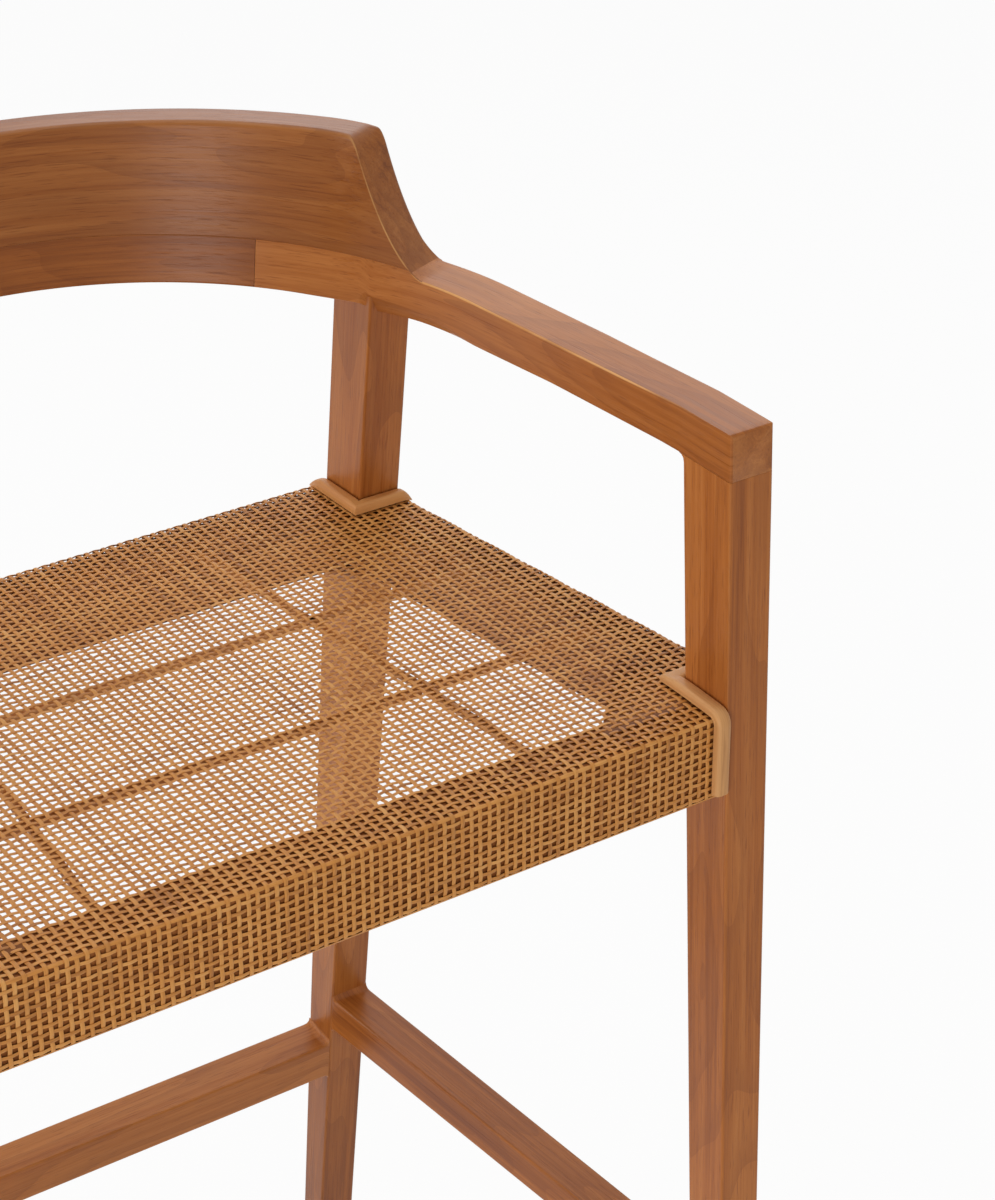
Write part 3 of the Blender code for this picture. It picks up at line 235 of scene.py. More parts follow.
class Nodes:
    """Short ways to add shader nodes to a material or a world."""

    def __init__(self, owner: bpy.types.Material | bpy.types.World) -> None:
        """Turn on the owner's nodes.

        Args:
            owner: New material or world.
        """
        owner.use_nodes = True
        self.owner = owner
        self.tree = owner.node_tree

    @property
    def shader(self) -> bpy.types.Node:
        """A material's own shader."""
        return self.tree.nodes["Principled BSDF"]

    def feed(self, node: bpy.types.Node, inputs: Inputs) -> None:
        """Link sockets to a node's inputs, and set those that have plain values.

        Args:
            node: Node to feed.
            inputs: Socket or value for each input's name or number.
        """
        for key, value in inputs.items():
            if isinstance(value, bpy.types.NodeSocket):
                self.tree.links.new(value, node.inputs[key])
            else:
                node.inputs[key].default_value = value

    def add(self, kind: str, inputs: Inputs, **settings: str) -> bpy.types.Node:
        """Add a node with its settings and inputs.

        Args:
            kind: Type of node, without its ShaderNode prefix.
            inputs: Socket or value for each input's name or number.
            settings: Properties of the node.

        Returns:
            The node.
        """
        node = self.tree.nodes.new("ShaderNode" + kind)
        for key, value in settings.items():
            setattr(node, key, value)
        self.feed(node, inputs)
        return node

    def attribute(self, name: str) -> Socket:
        """A mesh attribute as a vector."""
        return self.add("Attribute", {}, attribute_name=name).outputs["Vector"]

    def places(self) -> Socket:
        """Places in the stool's own frame."""
        return self.add("TexCoord", {}).outputs["Object"]

    def mapped(self, vector: Socket, scale: Triple, offset: Triple = (0.0, 0.0, 0.0)) -> Socket:
        """Stretch and shift coordinates."""
        return self.add("Mapping", {"Vector": vector, "Scale": scale, "Location": offset}).outputs["Vector"]

    def noise(self, vector: Socket, noise: Noise) -> Socket:
        """Smooth noise between 0 and 1.

        Args:
            vector: Coordinates.
            noise: Settings.

        Returns:
            The noise.
        """
        inputs = {"Vector": self.mapped(vector, noise.scale), "Scale": 1.0, "Detail": noise.detail,
                  "Roughness": noise.roughness, "Distortion": noise.distortion}
        return self.add("TexNoise", inputs).outputs["Fac"]

    def ramp(self, value: Socket, stops: tuple[float, ...], colours: tuple[Triple, ...]) -> Socket:
        """Colour along a value.

        Args:
            value: Place along the ramp.
            stops: Places of the colours.
            colours: Colours in order.

        Returns:
            The colour.
        """
        node = self.add("ValToRGB", {"Fac": value})
        elements = node.color_ramp.elements
        while len(elements) < len(stops):
            elements.new(0.5)
        for element, stop, colour in zip(elements, stops, colours):
            element.position = stop
            element.color = (*colour, 1.0)
        return node.outputs["Color"]

    def span(self, value: Socket, source: Pair, target: Pair = (0.0, 1.0)) -> Socket:
        """Map a range of values to another, held at both ends.

        Args:
            value: Value to map.
            source: Range that it comes from.
            target: Range that it goes to.

        Returns:
            The mapped value.
        """
        inputs = {"Value": value, "From Min": source[0], "From Max": source[1], "To Min": target[0],
                  "To Max": target[1]}
        return self.add("MapRange", inputs).outputs["Result"]

    def mix(self, factor: Socket | float, base: Socket, colour: Triple, blend: str = "MIX") -> Socket:
        """Blend one plain colour into others."""
        inputs = {"Factor": factor, MIX_BASE: base, MIX_COLOUR: (*colour, 1.0)}
        return self.add("Mix", inputs, data_type="RGBA", blend_type=blend).outputs[MIX_RESULT]

    def maths(self, operation: str, a: Socket, b: Socket | float) -> Socket:
        """Arithmetic on two values."""
        return self.add("Math", {0: a, 1: b}, operation=operation).outputs[0]

    def times(self, a: Socket, b: Socket | float) -> Socket:
        """Product of two values."""
        return self.maths("MULTIPLY", a, b)

    def weighted(self, values: tuple[Socket, ...], weights: tuple[float, ...]) -> Socket:
        """Sum of values times their weights.

        Args:
            values: Values in order.
            weights: Weight of each.

        Returns:
            The sum.
        """
        total = self.times(values[0], weights[0])
        for value, weight in zip(values[1:], weights[1:]):
            total = self.maths("ADD", total, self.times(value, weight))
        return total

    def seen(self) -> Socket:
        """Tell the rays that show something to the camera from those that only carry light.

        Returns:
            1 for what the camera, a reflection or a clear surface shows, else 0.
        """
        rays = self.add("LightPath", {}).outputs
        shown = self.maths("MAXIMUM", rays["Is Camera Ray"], rays["Is Glossy Ray"])
        return self.maths("MAXIMUM", shown, rays["Is Transmission Ray"])

    def finish(self, colour: Socket, texture: Socket, rough: Pair, height: Socket, relief: Pair,
               others: Inputs) -> bpy.types.Material:
        """Complete a material's shader.

        Args:
            colour: Base colour.
            texture: Noise that varies the roughness.
            rough: Least and greatest roughness.
            height: Height of the small relief.
            relief: Distance and strength of that relief.
            others: Values of the shader's other inputs.

        Returns:
            The material.
        """
        bump = self.add("Bump", {"Height": height, "Distance": relief[0], "Strength": relief[1]})
        roughness = self.span(texture, NOISE_SPAN, rough)
        inputs = {"Base Color": colour, "Roughness": roughness, "Normal": bump.outputs["Normal"]}
        self.feed(self.shader, inputs | others)
        return self.owner


@dataclass(frozen=True)
class Teak:
    """Satin oiled teak with streaks, growth bands and short dark pores along the grain.

    The grain attribute holds (along, across, through) in metres and its offset moves each piece to
    another place in the tree. Weights are those of drift, bands and fine streaks, and relief is the
    distance and strength of the bump.
    """

    dark: Triple = (0.215, 0.056, 0.010)
    middle: Triple = (0.398, 0.124, 0.023)
    light: Triple = (0.515, 0.188, 0.045)
    worn: Triple = (0.78, 0.40, 0.14)
    stops: Triple = (0.33, 0.47, 0.605)
    weights: Triple = (0.42, 0.40, 0.18)
    drift: Noise = Noise((1.6, 9.0, 9.0), detail=2.0)
    bands: Noise = Noise((2.2, 95.0, 95.0), detail=3.0, roughness=0.6, distortion=0.9)
    fine: Noise = Noise((9.0, 620.0, 620.0), detail=2.0, roughness=0.6)
    pores: Noise = Noise((55.0, 1500.0, 1500.0), detail=1.0, roughness=0.5)
    rubs: Noise = Noise((20.0, 60.0, 60.0), detail=2.0)
    rings: float = 15.0
    ring_span: Pair = (0.45, 1.0)
    ring_depth: float = 0.30
    pore_span: Pair = (0.60, 0.72)
    pore_depth: float = 0.55
    pore_hollow: float = 0.8
    wear: float = 0.50
    rub_span: Pair = (0.3, 0.7)
    rub_least: float = 0.3
    # Strength of the painted shade on the arm's facet below its crease.
    painted_shade: float = 0.5
    rough: Pair = (0.25, 0.38)
    shine: float = 0.23
    relief: Pair = (0.0004, 0.16)

    def material(self, name: str, offset: Triple, tint: float = 1.0, solid: bool = False
                 ) -> bpy.types.Material:
        """Build the finish.

        Args:
            name: Material name.
            offset: Shift of the grain coordinates.
            tint: Brightness of this board.
            solid: For a part without a grain attribute, whose grain runs along X.

        Returns:
            The material.
        """
        nodes = Nodes(bpy.data.materials.new(name))
        source = nodes.places() if solid else nodes.attribute("grain")
        grain = nodes.mapped(source, (1.0, 1.0, 1.0), offset)
        drift, bands, fine = (nodes.noise(grain, noise) for noise in (self.drift, self.bands, self.fine))
        pores = nodes.span(nodes.noise(grain, self.pores), self.pore_span)
        colour = nodes.ramp(nodes.weighted((drift, bands, fine), self.weights), self.stops,
                            (self.dark, self.middle, self.light))
        ring = nodes.maths("FRACT", nodes.times(drift, self.rings), 0.0)
        colour = nodes.mix(nodes.span(ring, self.ring_span, (0.0, self.ring_depth)), colour, self.dark)
        colour = nodes.mix(nodes.times(pores, self.pore_depth), colour, self.dark)
        if not solid:
            edge = nodes.add("SeparateXYZ", {0: nodes.attribute("edge")}).outputs
            patchy = nodes.span(nodes.noise(grain, self.rubs), self.rub_span, (self.rub_least, 1.0))
            colour = nodes.mix(nodes.times(nodes.times(edge["X"], patchy), self.wear), colour, self.worn)
            # Painted shade: the second value of the edge attribute darkens the arm's facet towards the dark
            # colour, as if shaded.
            colour = nodes.mix(nodes.times(edge["Y"], self.painted_shade), colour, self.dark)
        colour = nodes.mix(1.0, colour, (tint, tint, tint), "MULTIPLY")
        height = nodes.maths("SUBTRACT", fine, nodes.times(pores, self.pore_hollow))
        return nodes.finish(colour, fine, self.rough, height, self.relief, {"Specular IOR Level": self.shine})


@dataclass(frozen=True)
class Rattan:
    """Split rattan strands: golden cane with lengthways fibres, paler and darker lengths and nodes.

    Noises run along, across and from strand to strand. Weights are those of lengths, whole strands
    and fibres.
    """

    dark: Triple = (0.300, 0.100, 0.018)
    middle: Triple = (0.620, 0.258, 0.056)
    light: Triple = (0.770, 0.390, 0.118)
    stops: Triple = (0.30, 0.48, 0.66)
    weights: Triple = (0.36, 0.36, 0.28)
    lengths: Noise = Noise((16.0, 0.35, 7.3), detail=2.0)
    whole: Noise = Noise((1.2, 0.0, 31.7), detail=0.0)
    fibres: Noise = Noise((30.0, 3.2, 11.0), detail=2.0, roughness=0.6)
    joints: Noise = Noise((9.0, 0.0, 17.1), detail=0.0)
    joint_span: Pair = (0.70, 0.78)
    joint_depth: float = 0.55
    rough: Pair = (0.34, 0.54)
    shine: float = 0.30
    relief: Pair = (0.0003, 0.25)

    def material(self, name: str) -> bpy.types.Material:
        """Build the finish on the strand attribute (along in metres, across -1 to 1, strand number).

        Args:
            name: Material name.

        Returns:
            The material.
        """
        nodes = Nodes(bpy.data.materials.new(name))
        strand = nodes.attribute("strand")
        lengths, whole, fibres, joints = (
            nodes.noise(strand, noise) for noise in (self.lengths, self.whole, self.fibres, self.joints)
        )
        colour = nodes.ramp(nodes.weighted((lengths, whole, fibres), self.weights), self.stops,
                            (self.dark, self.middle, self.light))
        colour = nodes.mix(nodes.span(joints, self.joint_span, (0.0, self.joint_depth)), colour, self.dark)
        others = {"Specular IOR Level": self.shine}
        return nodes.finish(colour, fibres, self.rough, fibres, self.relief, others)


@dataclass(frozen=True)
class PlainFinish:
    """A small part's finish: one colour with a fine mottle and a slight relief."""

    colour: Triple
    second: Triple
    rough: Pair
    metallic: float = 0.0
    mottle: Noise = Noise((400.0, 400.0, 400.0), detail=3.0)
    stops: Pair = (0.35, 0.65)
    relief: Pair = (0.0002, 0.1)

    def material(self, name: str) -> bpy.types.Material:
        """Build the finish on the part's places.

        Args:
            name: Material name.

        Returns:
            The material.
        """
        nodes = Nodes(bpy.data.materials.new(name))
        mottle = nodes.noise(nodes.places(), self.mottle)
        colour = nodes.ramp(mottle, self.stops, (self.colour, self.second))
        return nodes.finish(colour, mottle, self.rough, mottle, self.relief, {"Metallic": self.metallic})


TEAK = Teak()
RAIL_TEAK = Teak(dark=(0.100, 0.030, 0.007), middle=(0.185, 0.060, 0.014), light=(0.250, 0.088, 0.023),
                 rough=(0.45, 0.58), shine=0.15)
# Paler than the frame's teak: painted light that makes up for the shade under the weave, where the battens
# show through the gaps.
BATTEN_TEAK_PAINTED_LIGHT = Teak(dark=(0.42, 0.160, 0.045), middle=(0.60, 0.270, 0.085), light=(0.72, 0.370, 0.135),
                   rough=(0.45, 0.58), shine=0.2)
LONG_PATCHES = Noise((8.0, 0.35, 7.3), detail=2.0)
CANE = Rattan()
SPLIT_CANE = Rattan(dark=(0.45, 0.195, 0.062), middle=(0.680, 0.345, 0.130), light=(0.790, 0.480, 0.215),
                    lengths=LONG_PATCHES)
# Darker copy of the split cane for the rear bindings: painted shade for strips that sit in shade by the rear
# legs.
SPLIT_CANE_PAINTED_SHADE = Rattan(dark=(0.34, 0.110, 0.026), middle=(0.560, 0.222, 0.060),
                         light=(0.680, 0.330, 0.110), lengths=LONG_PATCHES)
BEECH = PlainFinish((0.50, 0.34, 0.19), (0.58, 0.41, 0.25), rough=(0.55, 0.65))
ZINC = PlainFinish((0.50, 0.49, 0.46), (0.62, 0.61, 0.58), rough=(0.27, 0.37), metallic=1.0,
                   mottle=Noise((900.0, 900.0, 900.0), detail=3.0))
NYLON = PlainFinish((0.020, 0.018, 0.016), (0.035, 0.032, 0.028), rough=(0.50, 0.60),
                    mottle=Noise((1500.0, 1500.0, 1500.0), detail=3.0))


def dress(obj: bpy.types.Object, material: bpy.types.Material) -> None:
    """Make a material the object's only one."""
    obj.data.materials.clear()
    obj.data.materials.append(material)


def place(obj: bpy.types.Object, material: bpy.types.Material, slot: str, *nodes: str) -> None:
    """Dress a new piece, ride it on the stool and let it stand for its CAD nodes.

    Args:
        obj: New piece.
        material: Its finish.
        slot: Not used.
        nodes: CAD nodes that it stands for.
    """
    dress(obj, material)
    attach(obj, BODY)
    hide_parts(*nodes)
    log.info("%s: %d faces", obj.name, len(obj.data.polygons))


# Timber

@dataclass
class StoolSizes:
    """Driving sizes of the stool, with depths measured from the front legs' face at seat height."""

    fit: float = 0.0003
    seat_height: float = 0.750
    arm_rise: float = 0.1752
    crest_rise: float = 0.0878
    edge_round: float = 0.0016
    front_lean: float = 0.0295
    front_seat_depth: float = 0.0429
    front_foot_depth: float = 0.0288
    front_inner: float = 0.2715
    rear_inner: float = 0.230
    rear_front: float = 0.3524
    rear_rake: float = 0.0932
    rear_seat_depth: float = 0.0429
    rear_foot_depth: float = 0.0233
    foot_width: float = 0.030
    band_width: float = 0.0325
    band_thickness: float = 0.0305
    band_radius: float = 0.256
    band_centre: float = 0.22832
    band_slope: float = 0.033
    seam_slope: float = 0.035
    arm_slope: float = 0.0187
    arm_outer_rise: float = 0.0025
    joint_gap: float = 0.0001
    joint_rounds: int = 12
    glide_height: float = 0.004
    origin: Array = field(init=False)

    def __post_init__(self) -> None:
        """Find the shift from the stool's own depths to the frame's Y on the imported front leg."""
        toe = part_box("front_leg_right")[0].y
        self.origin = np.array([0.0, toe - self.front_leg_front(self.foot), 0.0])

    @property
    def foot(self) -> float:
        """Lower end of the legs, on the glides."""
        return self.glide_height + self.fit

    @property
    def arm_height(self) -> float:
        """Top of the arm at its front end."""
        return self.seat_height + self.arm_rise

    @property
    def crest_height(self) -> float:
        """Level top of the crest board."""
        return self.arm_height + self.crest_rise

    def leg_width(self, z: Number) -> Number:
        """Leg width, straight from foot to arm."""
        return self.foot_width + (self.band_width - self.foot_width) * z / self.arm_height

    def front_leg_front(self, z: Number) -> Number:
        """Front face of a front leg."""
        return -self.front_lean * (1.0 - z / self.seat_height)

    def front_leg_rear(self, z: Number) -> Number:
        """Rear face of a front leg."""
        foot = self.front_foot_depth - self.front_lean
        return foot + (self.front_seat_depth - foot) * z / self.seat_height

    def rear_leg_front(self, z: Number) -> Number:
        """Front face of a rear leg."""
        return self.rear_front + self.rear_rake * (1.0 - z / self.seat_height)

    def rear_leg_rear(self, z: Number) -> Number:
        """Rear face of a rear leg."""
        foot = self.rear_front + self.rear_rake + self.rear_foot_depth
        return foot + (self.rear_front + self.rear_seat_depth - foot) * z / self.seat_height

    @property
    def arm_front(self) -> float:
        """Front end of the arm's top."""
        return self.front_leg_front(self.arm_height)

    def band_bottom(self, y: Number) -> Number:
        """Sloping underside of the horseshoe."""
        return self.arm_height - self.band_thickness + self.band_slope * (y - self.arm_front)

    def seam(self, y: Number) -> Number:
        """Sloping plane between horseshoe and crest."""
        return self.arm_height + self.seam_slope * (y - self.arm_front)

    def leg_top(self, face: Face) -> Pair:
        """Depth and height where a leg's face meets the horseshoe, by repeated substitution.

        Args:
            face: Depth of the leg's face by height.

        Returns:
            Depth and height.
        """
        z = self.arm_height
        for _ in range(self.joint_rounds):
            z = self.band_bottom(face(z)) - self.joint_gap
        return face(z), z


class Timber:
    """Lengths of timber lofted through rounded four-cornered sections."""

    corner_steps = 4
    corner_points = corner_steps + 3
    plain_wear = 0.2
    grain_shift = (0.37, 0.113, 0.071)

    def __init__(self, sizes: StoolSizes) -> None:
        """Keep the stool's sizes and count the pieces, which take different grain."""
        self.sizes = sizes
        self.count = 0

    def piece(self, node: str, corners: Array, radii: Number, along: Array, side: Side = Side.RIGHT,
              tint: float = 1.0, wear: Number = plain_wear, flat: Number = 0.0, shade: Number = 0.0,
              finish: Teak = TEAK) -> None:
        """Loft one piece in place of a CAD node and give it teak with its grain along the loft.

        Args:
            node: CAD node that it stands for.
            corners: Sections (sections, 4, 3) in the stool's own depths.
            radii: Corner reaches (sections, 4), (sections, 4, 2) for two different ones, or one value.
            along: Distance of each section along the piece.
            side: Which half of the stool.
            tint: Brightness of the board.
            wear: How much each corner is rubbed pale (sections, 4).
            flat: Share of chamfer at each corner (sections, 4).
            shade: Painted shade on the first corner's chamfer, how dark it is drawn (sections).
            finish: Timber finish.
        """
        shape = corners.shape[:2]
        if np.ndim(radii) < 3:
            radii = np.repeat(np.broadcast_to(radii, shape)[..., None], 2, axis=-1)
        ring, edge = round_corners(corners, radii, np.broadcast_to(flat, shape), self.corner_steps)
        edge = edge * np.repeat(np.broadcast_to(wear, shape), self.corner_points, axis=1)
        # Painted shade: darkens the points of the first corner's chamfer by the given share.
        painted_shade = np.zeros_like(edge)
        painted_shade[:, 1:self.corner_points - 1] = np.reshape(shade, (-1, 1))
        offset = ring - corners[:, None, 0]
        across, through = (
            (offset * unit(corners[:, corner] - corners[:, 0])[:, None]).sum(-1) for corner in (1, 3)
        )
        obj = mesh_from_grid(node + "_timber", mirror_points(ring + self.sizes.origin, side)[None])
        store(obj, "grain", along[:, None], across[:, ::side.turn], through[:, ::side.turn])
        store(obj, "edge", edge[:, ::side.turn], painted_shade[:, ::side.turn], np.zeros_like(edge))
        self.count += 1
        shift = tuple(step * self.count for step in self.grain_shift)
        place(obj, finish.material(node + "_timber_teak", shift, tint), "teak", node)


@dataclass
class Legs:
    """The four tapered legs."""

    sizes: StoolSizes
    timber: Timber
    count: int = 40
    arm_fillet: float = 0.0045
    rear_slim: float = 0.0026
    rear_run_in: float = 0.006
    trim_slope: float = 0.25
    trim_round: float = 0.9
    trim_round_limit: float = 0.010
    outer_lean: float = 0.18
    lean_share: float = 0.82
    front_tint: float = 1.06
    rear_tint: float = 0.95

    def build(self) -> None:
        """Make both pairs."""
        for side in Side:
            self.front(side)
            self.rear(side)

    def heights(self, top: float) -> Array:
        """Section heights from the glide to the arm, closer near the top."""
        t = np.linspace(0.0, 1.0, self.count)
        return between(self.sizes.foot, top, 1.0 - (1.0 - t) ** 2)

    def lofted(self, front: Face, rear: Face, inner: float, fillet: float) -> tuple[Array, Array]:
        """Corners from two faces: heights run together from the level foot to the sloping top.

        Args:
            front: Depth of the front face by height.
            rear: Depth of the rear face by height.
            inner: Place of the inner face.
            fillet: Radius of the fillet behind the top.

        Returns:
            Corners and the height of each section's front edge.
        """
        s = self.sizes
        top_rear = s.leg_top(rear)[1]
        z_front = self.heights(s.leg_top(front)[1])
        z_rear = self.heights(top_rear)
        y_front = front(z_front)
        y_rear = rear(z_rear) + flare(top_rear - z_rear, fillet)
        z_rear = np.where(z_rear == z_rear[-1], s.band_bottom(y_rear) - s.joint_gap, z_rear)
        outer = inner + s.leg_width(z_front)
        return corner_sections((inner, y_front, z_front), (outer, y_front, z_front),
                               (outer, y_rear, z_rear), (inner, y_rear, z_rear)), z_front

    def front(self, side: Side) -> None:
        """Front leg, with a small fillet into the arm behind it.

        Args:
            side: Which half of the stool.
        """
        s = self.sizes
        corners, along = self.lofted(s.front_leg_front, s.front_leg_rear, s.front_inner, self.arm_fillet)
        self.timber.piece("front_leg_" + side.label, corners, s.edge_round, along, side, self.front_tint)

    def rear(self, side: Side) -> None:
        """Rear leg, its outer rear corner taken back to the band by a cone about the arc's centre.

        Args:
            side: Which half of the stool.
        """
        s = self.sizes
        corners, along = self.lofted(s.rear_leg_front, s.rear_leg_rear, s.rear_inner, 0.0)
        centre = np.array([0.0, s.band_centre])
        top = corners[-1, 2, 2]
        corners[:, 2:, 1] -= self.rear_slim * progress(corners[:, 2:, 2], s.seat_height, top)
        limit = s.band_radius + s.band_width - self.lean_share * self.outer_lean * s.band_thickness
        radius = limit + self.trim_slope * (top - corners[:, :, 2])
        plan = corners[:, :, :2] - centre
        reach = np.linalg.norm(plan, axis=-1)
        corners[:, :, :2] = centre + plan * np.minimum(1.0, radius / reach)[..., None]
        corners[-1, :2, 2] += self.rear_run_in
        over = np.maximum(reach - radius, 0.0)
        radii = s.edge_round + np.minimum(over * self.trim_round, self.trim_round_limit)
        self.timber.piece("rear_leg_" + side.label, corners, radii, along, side, self.rear_tint)


@dataclass
class Horseshoe:
    """Arms, back rail and crest board, all ruled on one leaning arc."""

    sizes: StoolSizes
    timber: Timber
    rail_angle: float = math.radians(46.7)
    inner_lean: float = 0.25
    outer_lean: float = 0.18
    lean_full: float = math.radians(55.0)
    lean_zero: float = math.radians(75.0)
    bend_y: float = 0.057
    run_count: int = 24
    run_turn: Pair = (0.93, 0.07)
    end_count: int = 9
    end_turn: float = 0.35
    facet_rise: Pair = (0.0115, 0.004)
    facet_width: float = 0.006
    facet_run: float = 0.085
    facet_stop: float = 0.010
    facet_fade: float = 3.0
    facet_flat: float = 0.9
    swell: float = 0.0055
    swell_run: float = 0.160
    leg_lead: float = 0.016
    leg_ease: float = 0.008
    cover_ease: float = 0.002
    shoulder: float = math.radians(60.8)
    tip: float = math.radians(74.6)
    outer_shoulder: float = math.radians(62.4)
    outer_tip: float = math.radians(72.6)
    sweep_power: float = 1.6
    shoulder_blend: float = 0.010
    skin: float = 0.00006
    crest_round: float = 0.0030
    crest_lead: float = 0.03
    crest_ease: float = 0.05
    crest_count: int = 56
    arris: float = 0.0012
    arris_share: float = 3.0
    joint_round: float = 0.0004
    nose_steps: int = 6
    arc_step: float = math.radians(0.6)
    wear: float = 0.35
    arm_wear: float = 3.0
    sweep_wear: float = 1.65
    rail_tint: float = 0.84
    arm_tint: float = 0.98
    crest_tint: float = 0.76

    def build(self) -> None:
        """Make the four pieces."""
        self.back_rail()
        for side in Side:
            self.arm(side)
        self.crest()

    def lean(self, angle: Array) -> Array:
        """Share of the back's lean, full in the middle and gone at the arms."""
        return 1.0 - smooth_step(progress(np.abs(angle), self.lean_full, self.lean_zero))

    def arc(self, angle: Array, radius: float) -> Array:
        """Plan points on the arc."""
        return np.stack([radius * np.sin(angle), self.sizes.band_centre + radius * np.cos(angle)], -1)

    def sweep(self, plan: Array, outer: bool) -> Array:
        """Height of the swept line over one edge, given its plan points.

        The line is level along the crest, softened at the shoulder, then falls to the arm's top by
        share^p, where the share runs from 1 at the shoulder's angle to 0 at the tip's angle.

        Args:
            plan: Plan points (count, 2).
            outer: Whether they lie on the outer edge.

        Returns:
            Heights.
        """
        s = self.sizes
        angle = np.arctan2(np.abs(plan[:, 0]), plan[:, 1] - s.band_centre)
        shoulder, tip = (self.outer_shoulder, self.outer_tip) if outer else (self.shoulder, self.tip)
        arm = s.arm_height + s.arm_slope * (plan[:, 1] - s.arm_front) + (s.arm_outer_rise if outer else 0.0)
        full = s.crest_height - arm
        swept = full * np.clip((tip - angle) / (tip - shoulder), 0.0, None) ** self.sweep_power
        overlap = np.clip(self.shoulder_blend - np.abs(full - swept), 0.0, None) / self.shoulder_blend
        return arm + np.minimum(full, swept) - overlap ** 2 * self.shoulder_blend / 4.0

    def ruled(self, inner: Array, outer: Array, normal: Array, lean: Array, crest: bool = False) -> Array:
        """Corners of sections: inner low, outer low, outer high, inner high.

        Each corner leans outwards by lean times its height over the seam. The band lies between its
        underside and the lower of seam and swept line, the crest between the seam and that line.

        Args:
            inner: Inner plan points.
            outer: Outer plan points.
            normal: Outward directions.
            lean: Share of the lean.
            crest: Whether it is the crest, not the band.

        Returns:
            Corners (sections, 4, 3).
        """
        s = self.sizes
        parts = []
        for is_outer, is_high in SQUARE:
            base, slope = (outer, self.outer_lean) if is_outer else (inner, self.inner_lean)
            seam, sweep = s.seam(base[:, 1]), self.sweep(base, bool(is_outer))
            if is_high == crest:
                z = sweep + self.skin if crest else s.band_bottom(base[:, 1])
            else:
                z = np.minimum(seam, sweep)
            plan = base + normal * (lean * slope * (z - seam))[:, None]
            parts.append(np.concatenate([plan, z[:, None]], axis=-1))
        return np.stack(parts, axis=1)

    def angles(self, first: float, last: float) -> Array:
        """Even angles between two limits."""
        return np.linspace(first, last, max(2, round(abs(last - first) / self.arc_step)) + 1)

    def arc_sections(self, angle: Array) -> tuple[Array, Array]:
        """Inner plan points and outward normals on the arc."""
        return self.arc(angle, self.sizes.band_radius), np.stack([np.sin(angle), np.cos(angle)], -1)

    def back_rail(self) -> None:
        """Curved middle piece between the two end joints."""
        s = self.sizes
        end = self.rail_angle - s.fit / 2.0 / s.band_radius
        angle = self.angles(end, -end)
        inner, normal = self.arc_sections(angle)
        corners = self.ruled(inner, inner + normal * s.band_width, normal, self.lean(angle))
        radii = np.full(corners.shape[:2], s.edge_round)
        radii[:, 2:] = self.joint_round
        self.timber.piece("back_rail", corners, radii, -angle * s.band_radius, tint=self.rail_tint)

    def arm(self, side: Side) -> None:
        """One arm, with a facet and a swell before the rear leg, painted shade on the facet, small rounds at
        joints and a worn edge.

        Args:
            side: Which half of the stool.
        """
        s = self.sizes
        corners, inner = self.arm_sections()
        y = inner[:, 1]
        shape = corners.shape[:2]
        back = s.leg_top(s.rear_leg_front)[0]
        ahead = np.clip((back - y) / self.facet_run, 0.0, 1.0)
        stop = smooth_step((back + self.facet_stop - y) / self.facet_stop)
        facet = (1.0 - ahead) * stop
        fade = np.minimum(facet * self.facet_fade, 1.0)
        swell = self.swell * np.clip(1.0 - (back - y) / self.swell_run, 0.0, 1.0) * stop
        corners[:, :2, 2] -= swell[:, None]
        radii = np.full(shape + (2,), s.edge_round)
        radii[:, 0, 0] += fade * (between(*self.facet_rise, ahead) - s.edge_round)
        radii[:, 0, 1] += facet * (self.facet_width - s.edge_round)
        over_leg = smooth_step((s.front_leg_rear(s.arm_height) + self.leg_lead - y) / self.leg_ease)
        radii[:, :2] += (over_leg * (self.joint_round - s.edge_round))[:, None, None]
        under_crest = 1.0 - smooth_step((s.seam(y) - corners[:, 3, 2]) / self.cover_ease)
        radii[:, 2] += (under_crest * (self.joint_round - s.edge_round))[:, None]
        radii[:, 3] = between(self.arris, self.joint_round, under_crest)[:, None]
        wear = np.full(shape, self.wear)
        wear[:-self.nose_steps, 3] = self.arm_wear * (1.0 - under_crest[:-self.nose_steps])
        flat = np.zeros(shape)
        flat[:, 0] = fade * self.facet_flat
        along = travel(inner)
        # The facet's share also sets the painted shade on it.
        self.timber.piece("arm_" + side.label, corners, radii, along, side, self.arm_tint, wear, flat, facet)

    def arm_sections(self) -> tuple[Array, Array]:
        """Arc from the joint, straight run tangent to it, and a square end over the front leg.

        Returns:
            Corners and inner plan points, before the facet and the swell.
        """
        s = self.sizes
        bend = np.array([s.front_inner, self.bend_y])
        reach = bend - np.array([0.0, s.band_centre])
        touch = math.atan2(reach[0], reach[1]) - math.acos(s.band_radius / np.linalg.norm(reach))
        angle = self.angles(self.rail_angle + s.fit / 2.0 / s.band_radius, touch)
        inner, normal = self.arc_sections(angle)
        slant, square = normal[-1], np.array([1.0, 0.0])
        middle = unit(slant + square)
        t = np.linspace(0.0, 1.0, self.run_count)[1:, None]
        run = between(inner[-1], bend, t)
        turn = smooth_step((t - self.run_turn[0]) / self.run_turn[1])
        run_normal = unit(slant * (1.0 - turn) + middle * turn)
        t = np.linspace(0.0, 1.0, self.end_count)[1:, None]
        end = between(bend, np.array([s.front_inner, s.arm_front]), t)
        turn = smooth_step(t / self.end_turn)
        end_normal = unit(middle * (1.0 - turn) + square * turn)
        inner = np.concatenate([inner, run, end])
        normal = np.concatenate([normal, run_normal, end_normal])
        lean = np.concatenate([self.lean(angle), np.zeros(len(run) + len(end))])
        corners = self.ruled(inner, inner + normal * s.band_width, normal, lean)
        corners[-1, :, 1] = s.front_leg_front(corners[-1, :, 2])
        return self.nosed(corners, inner)

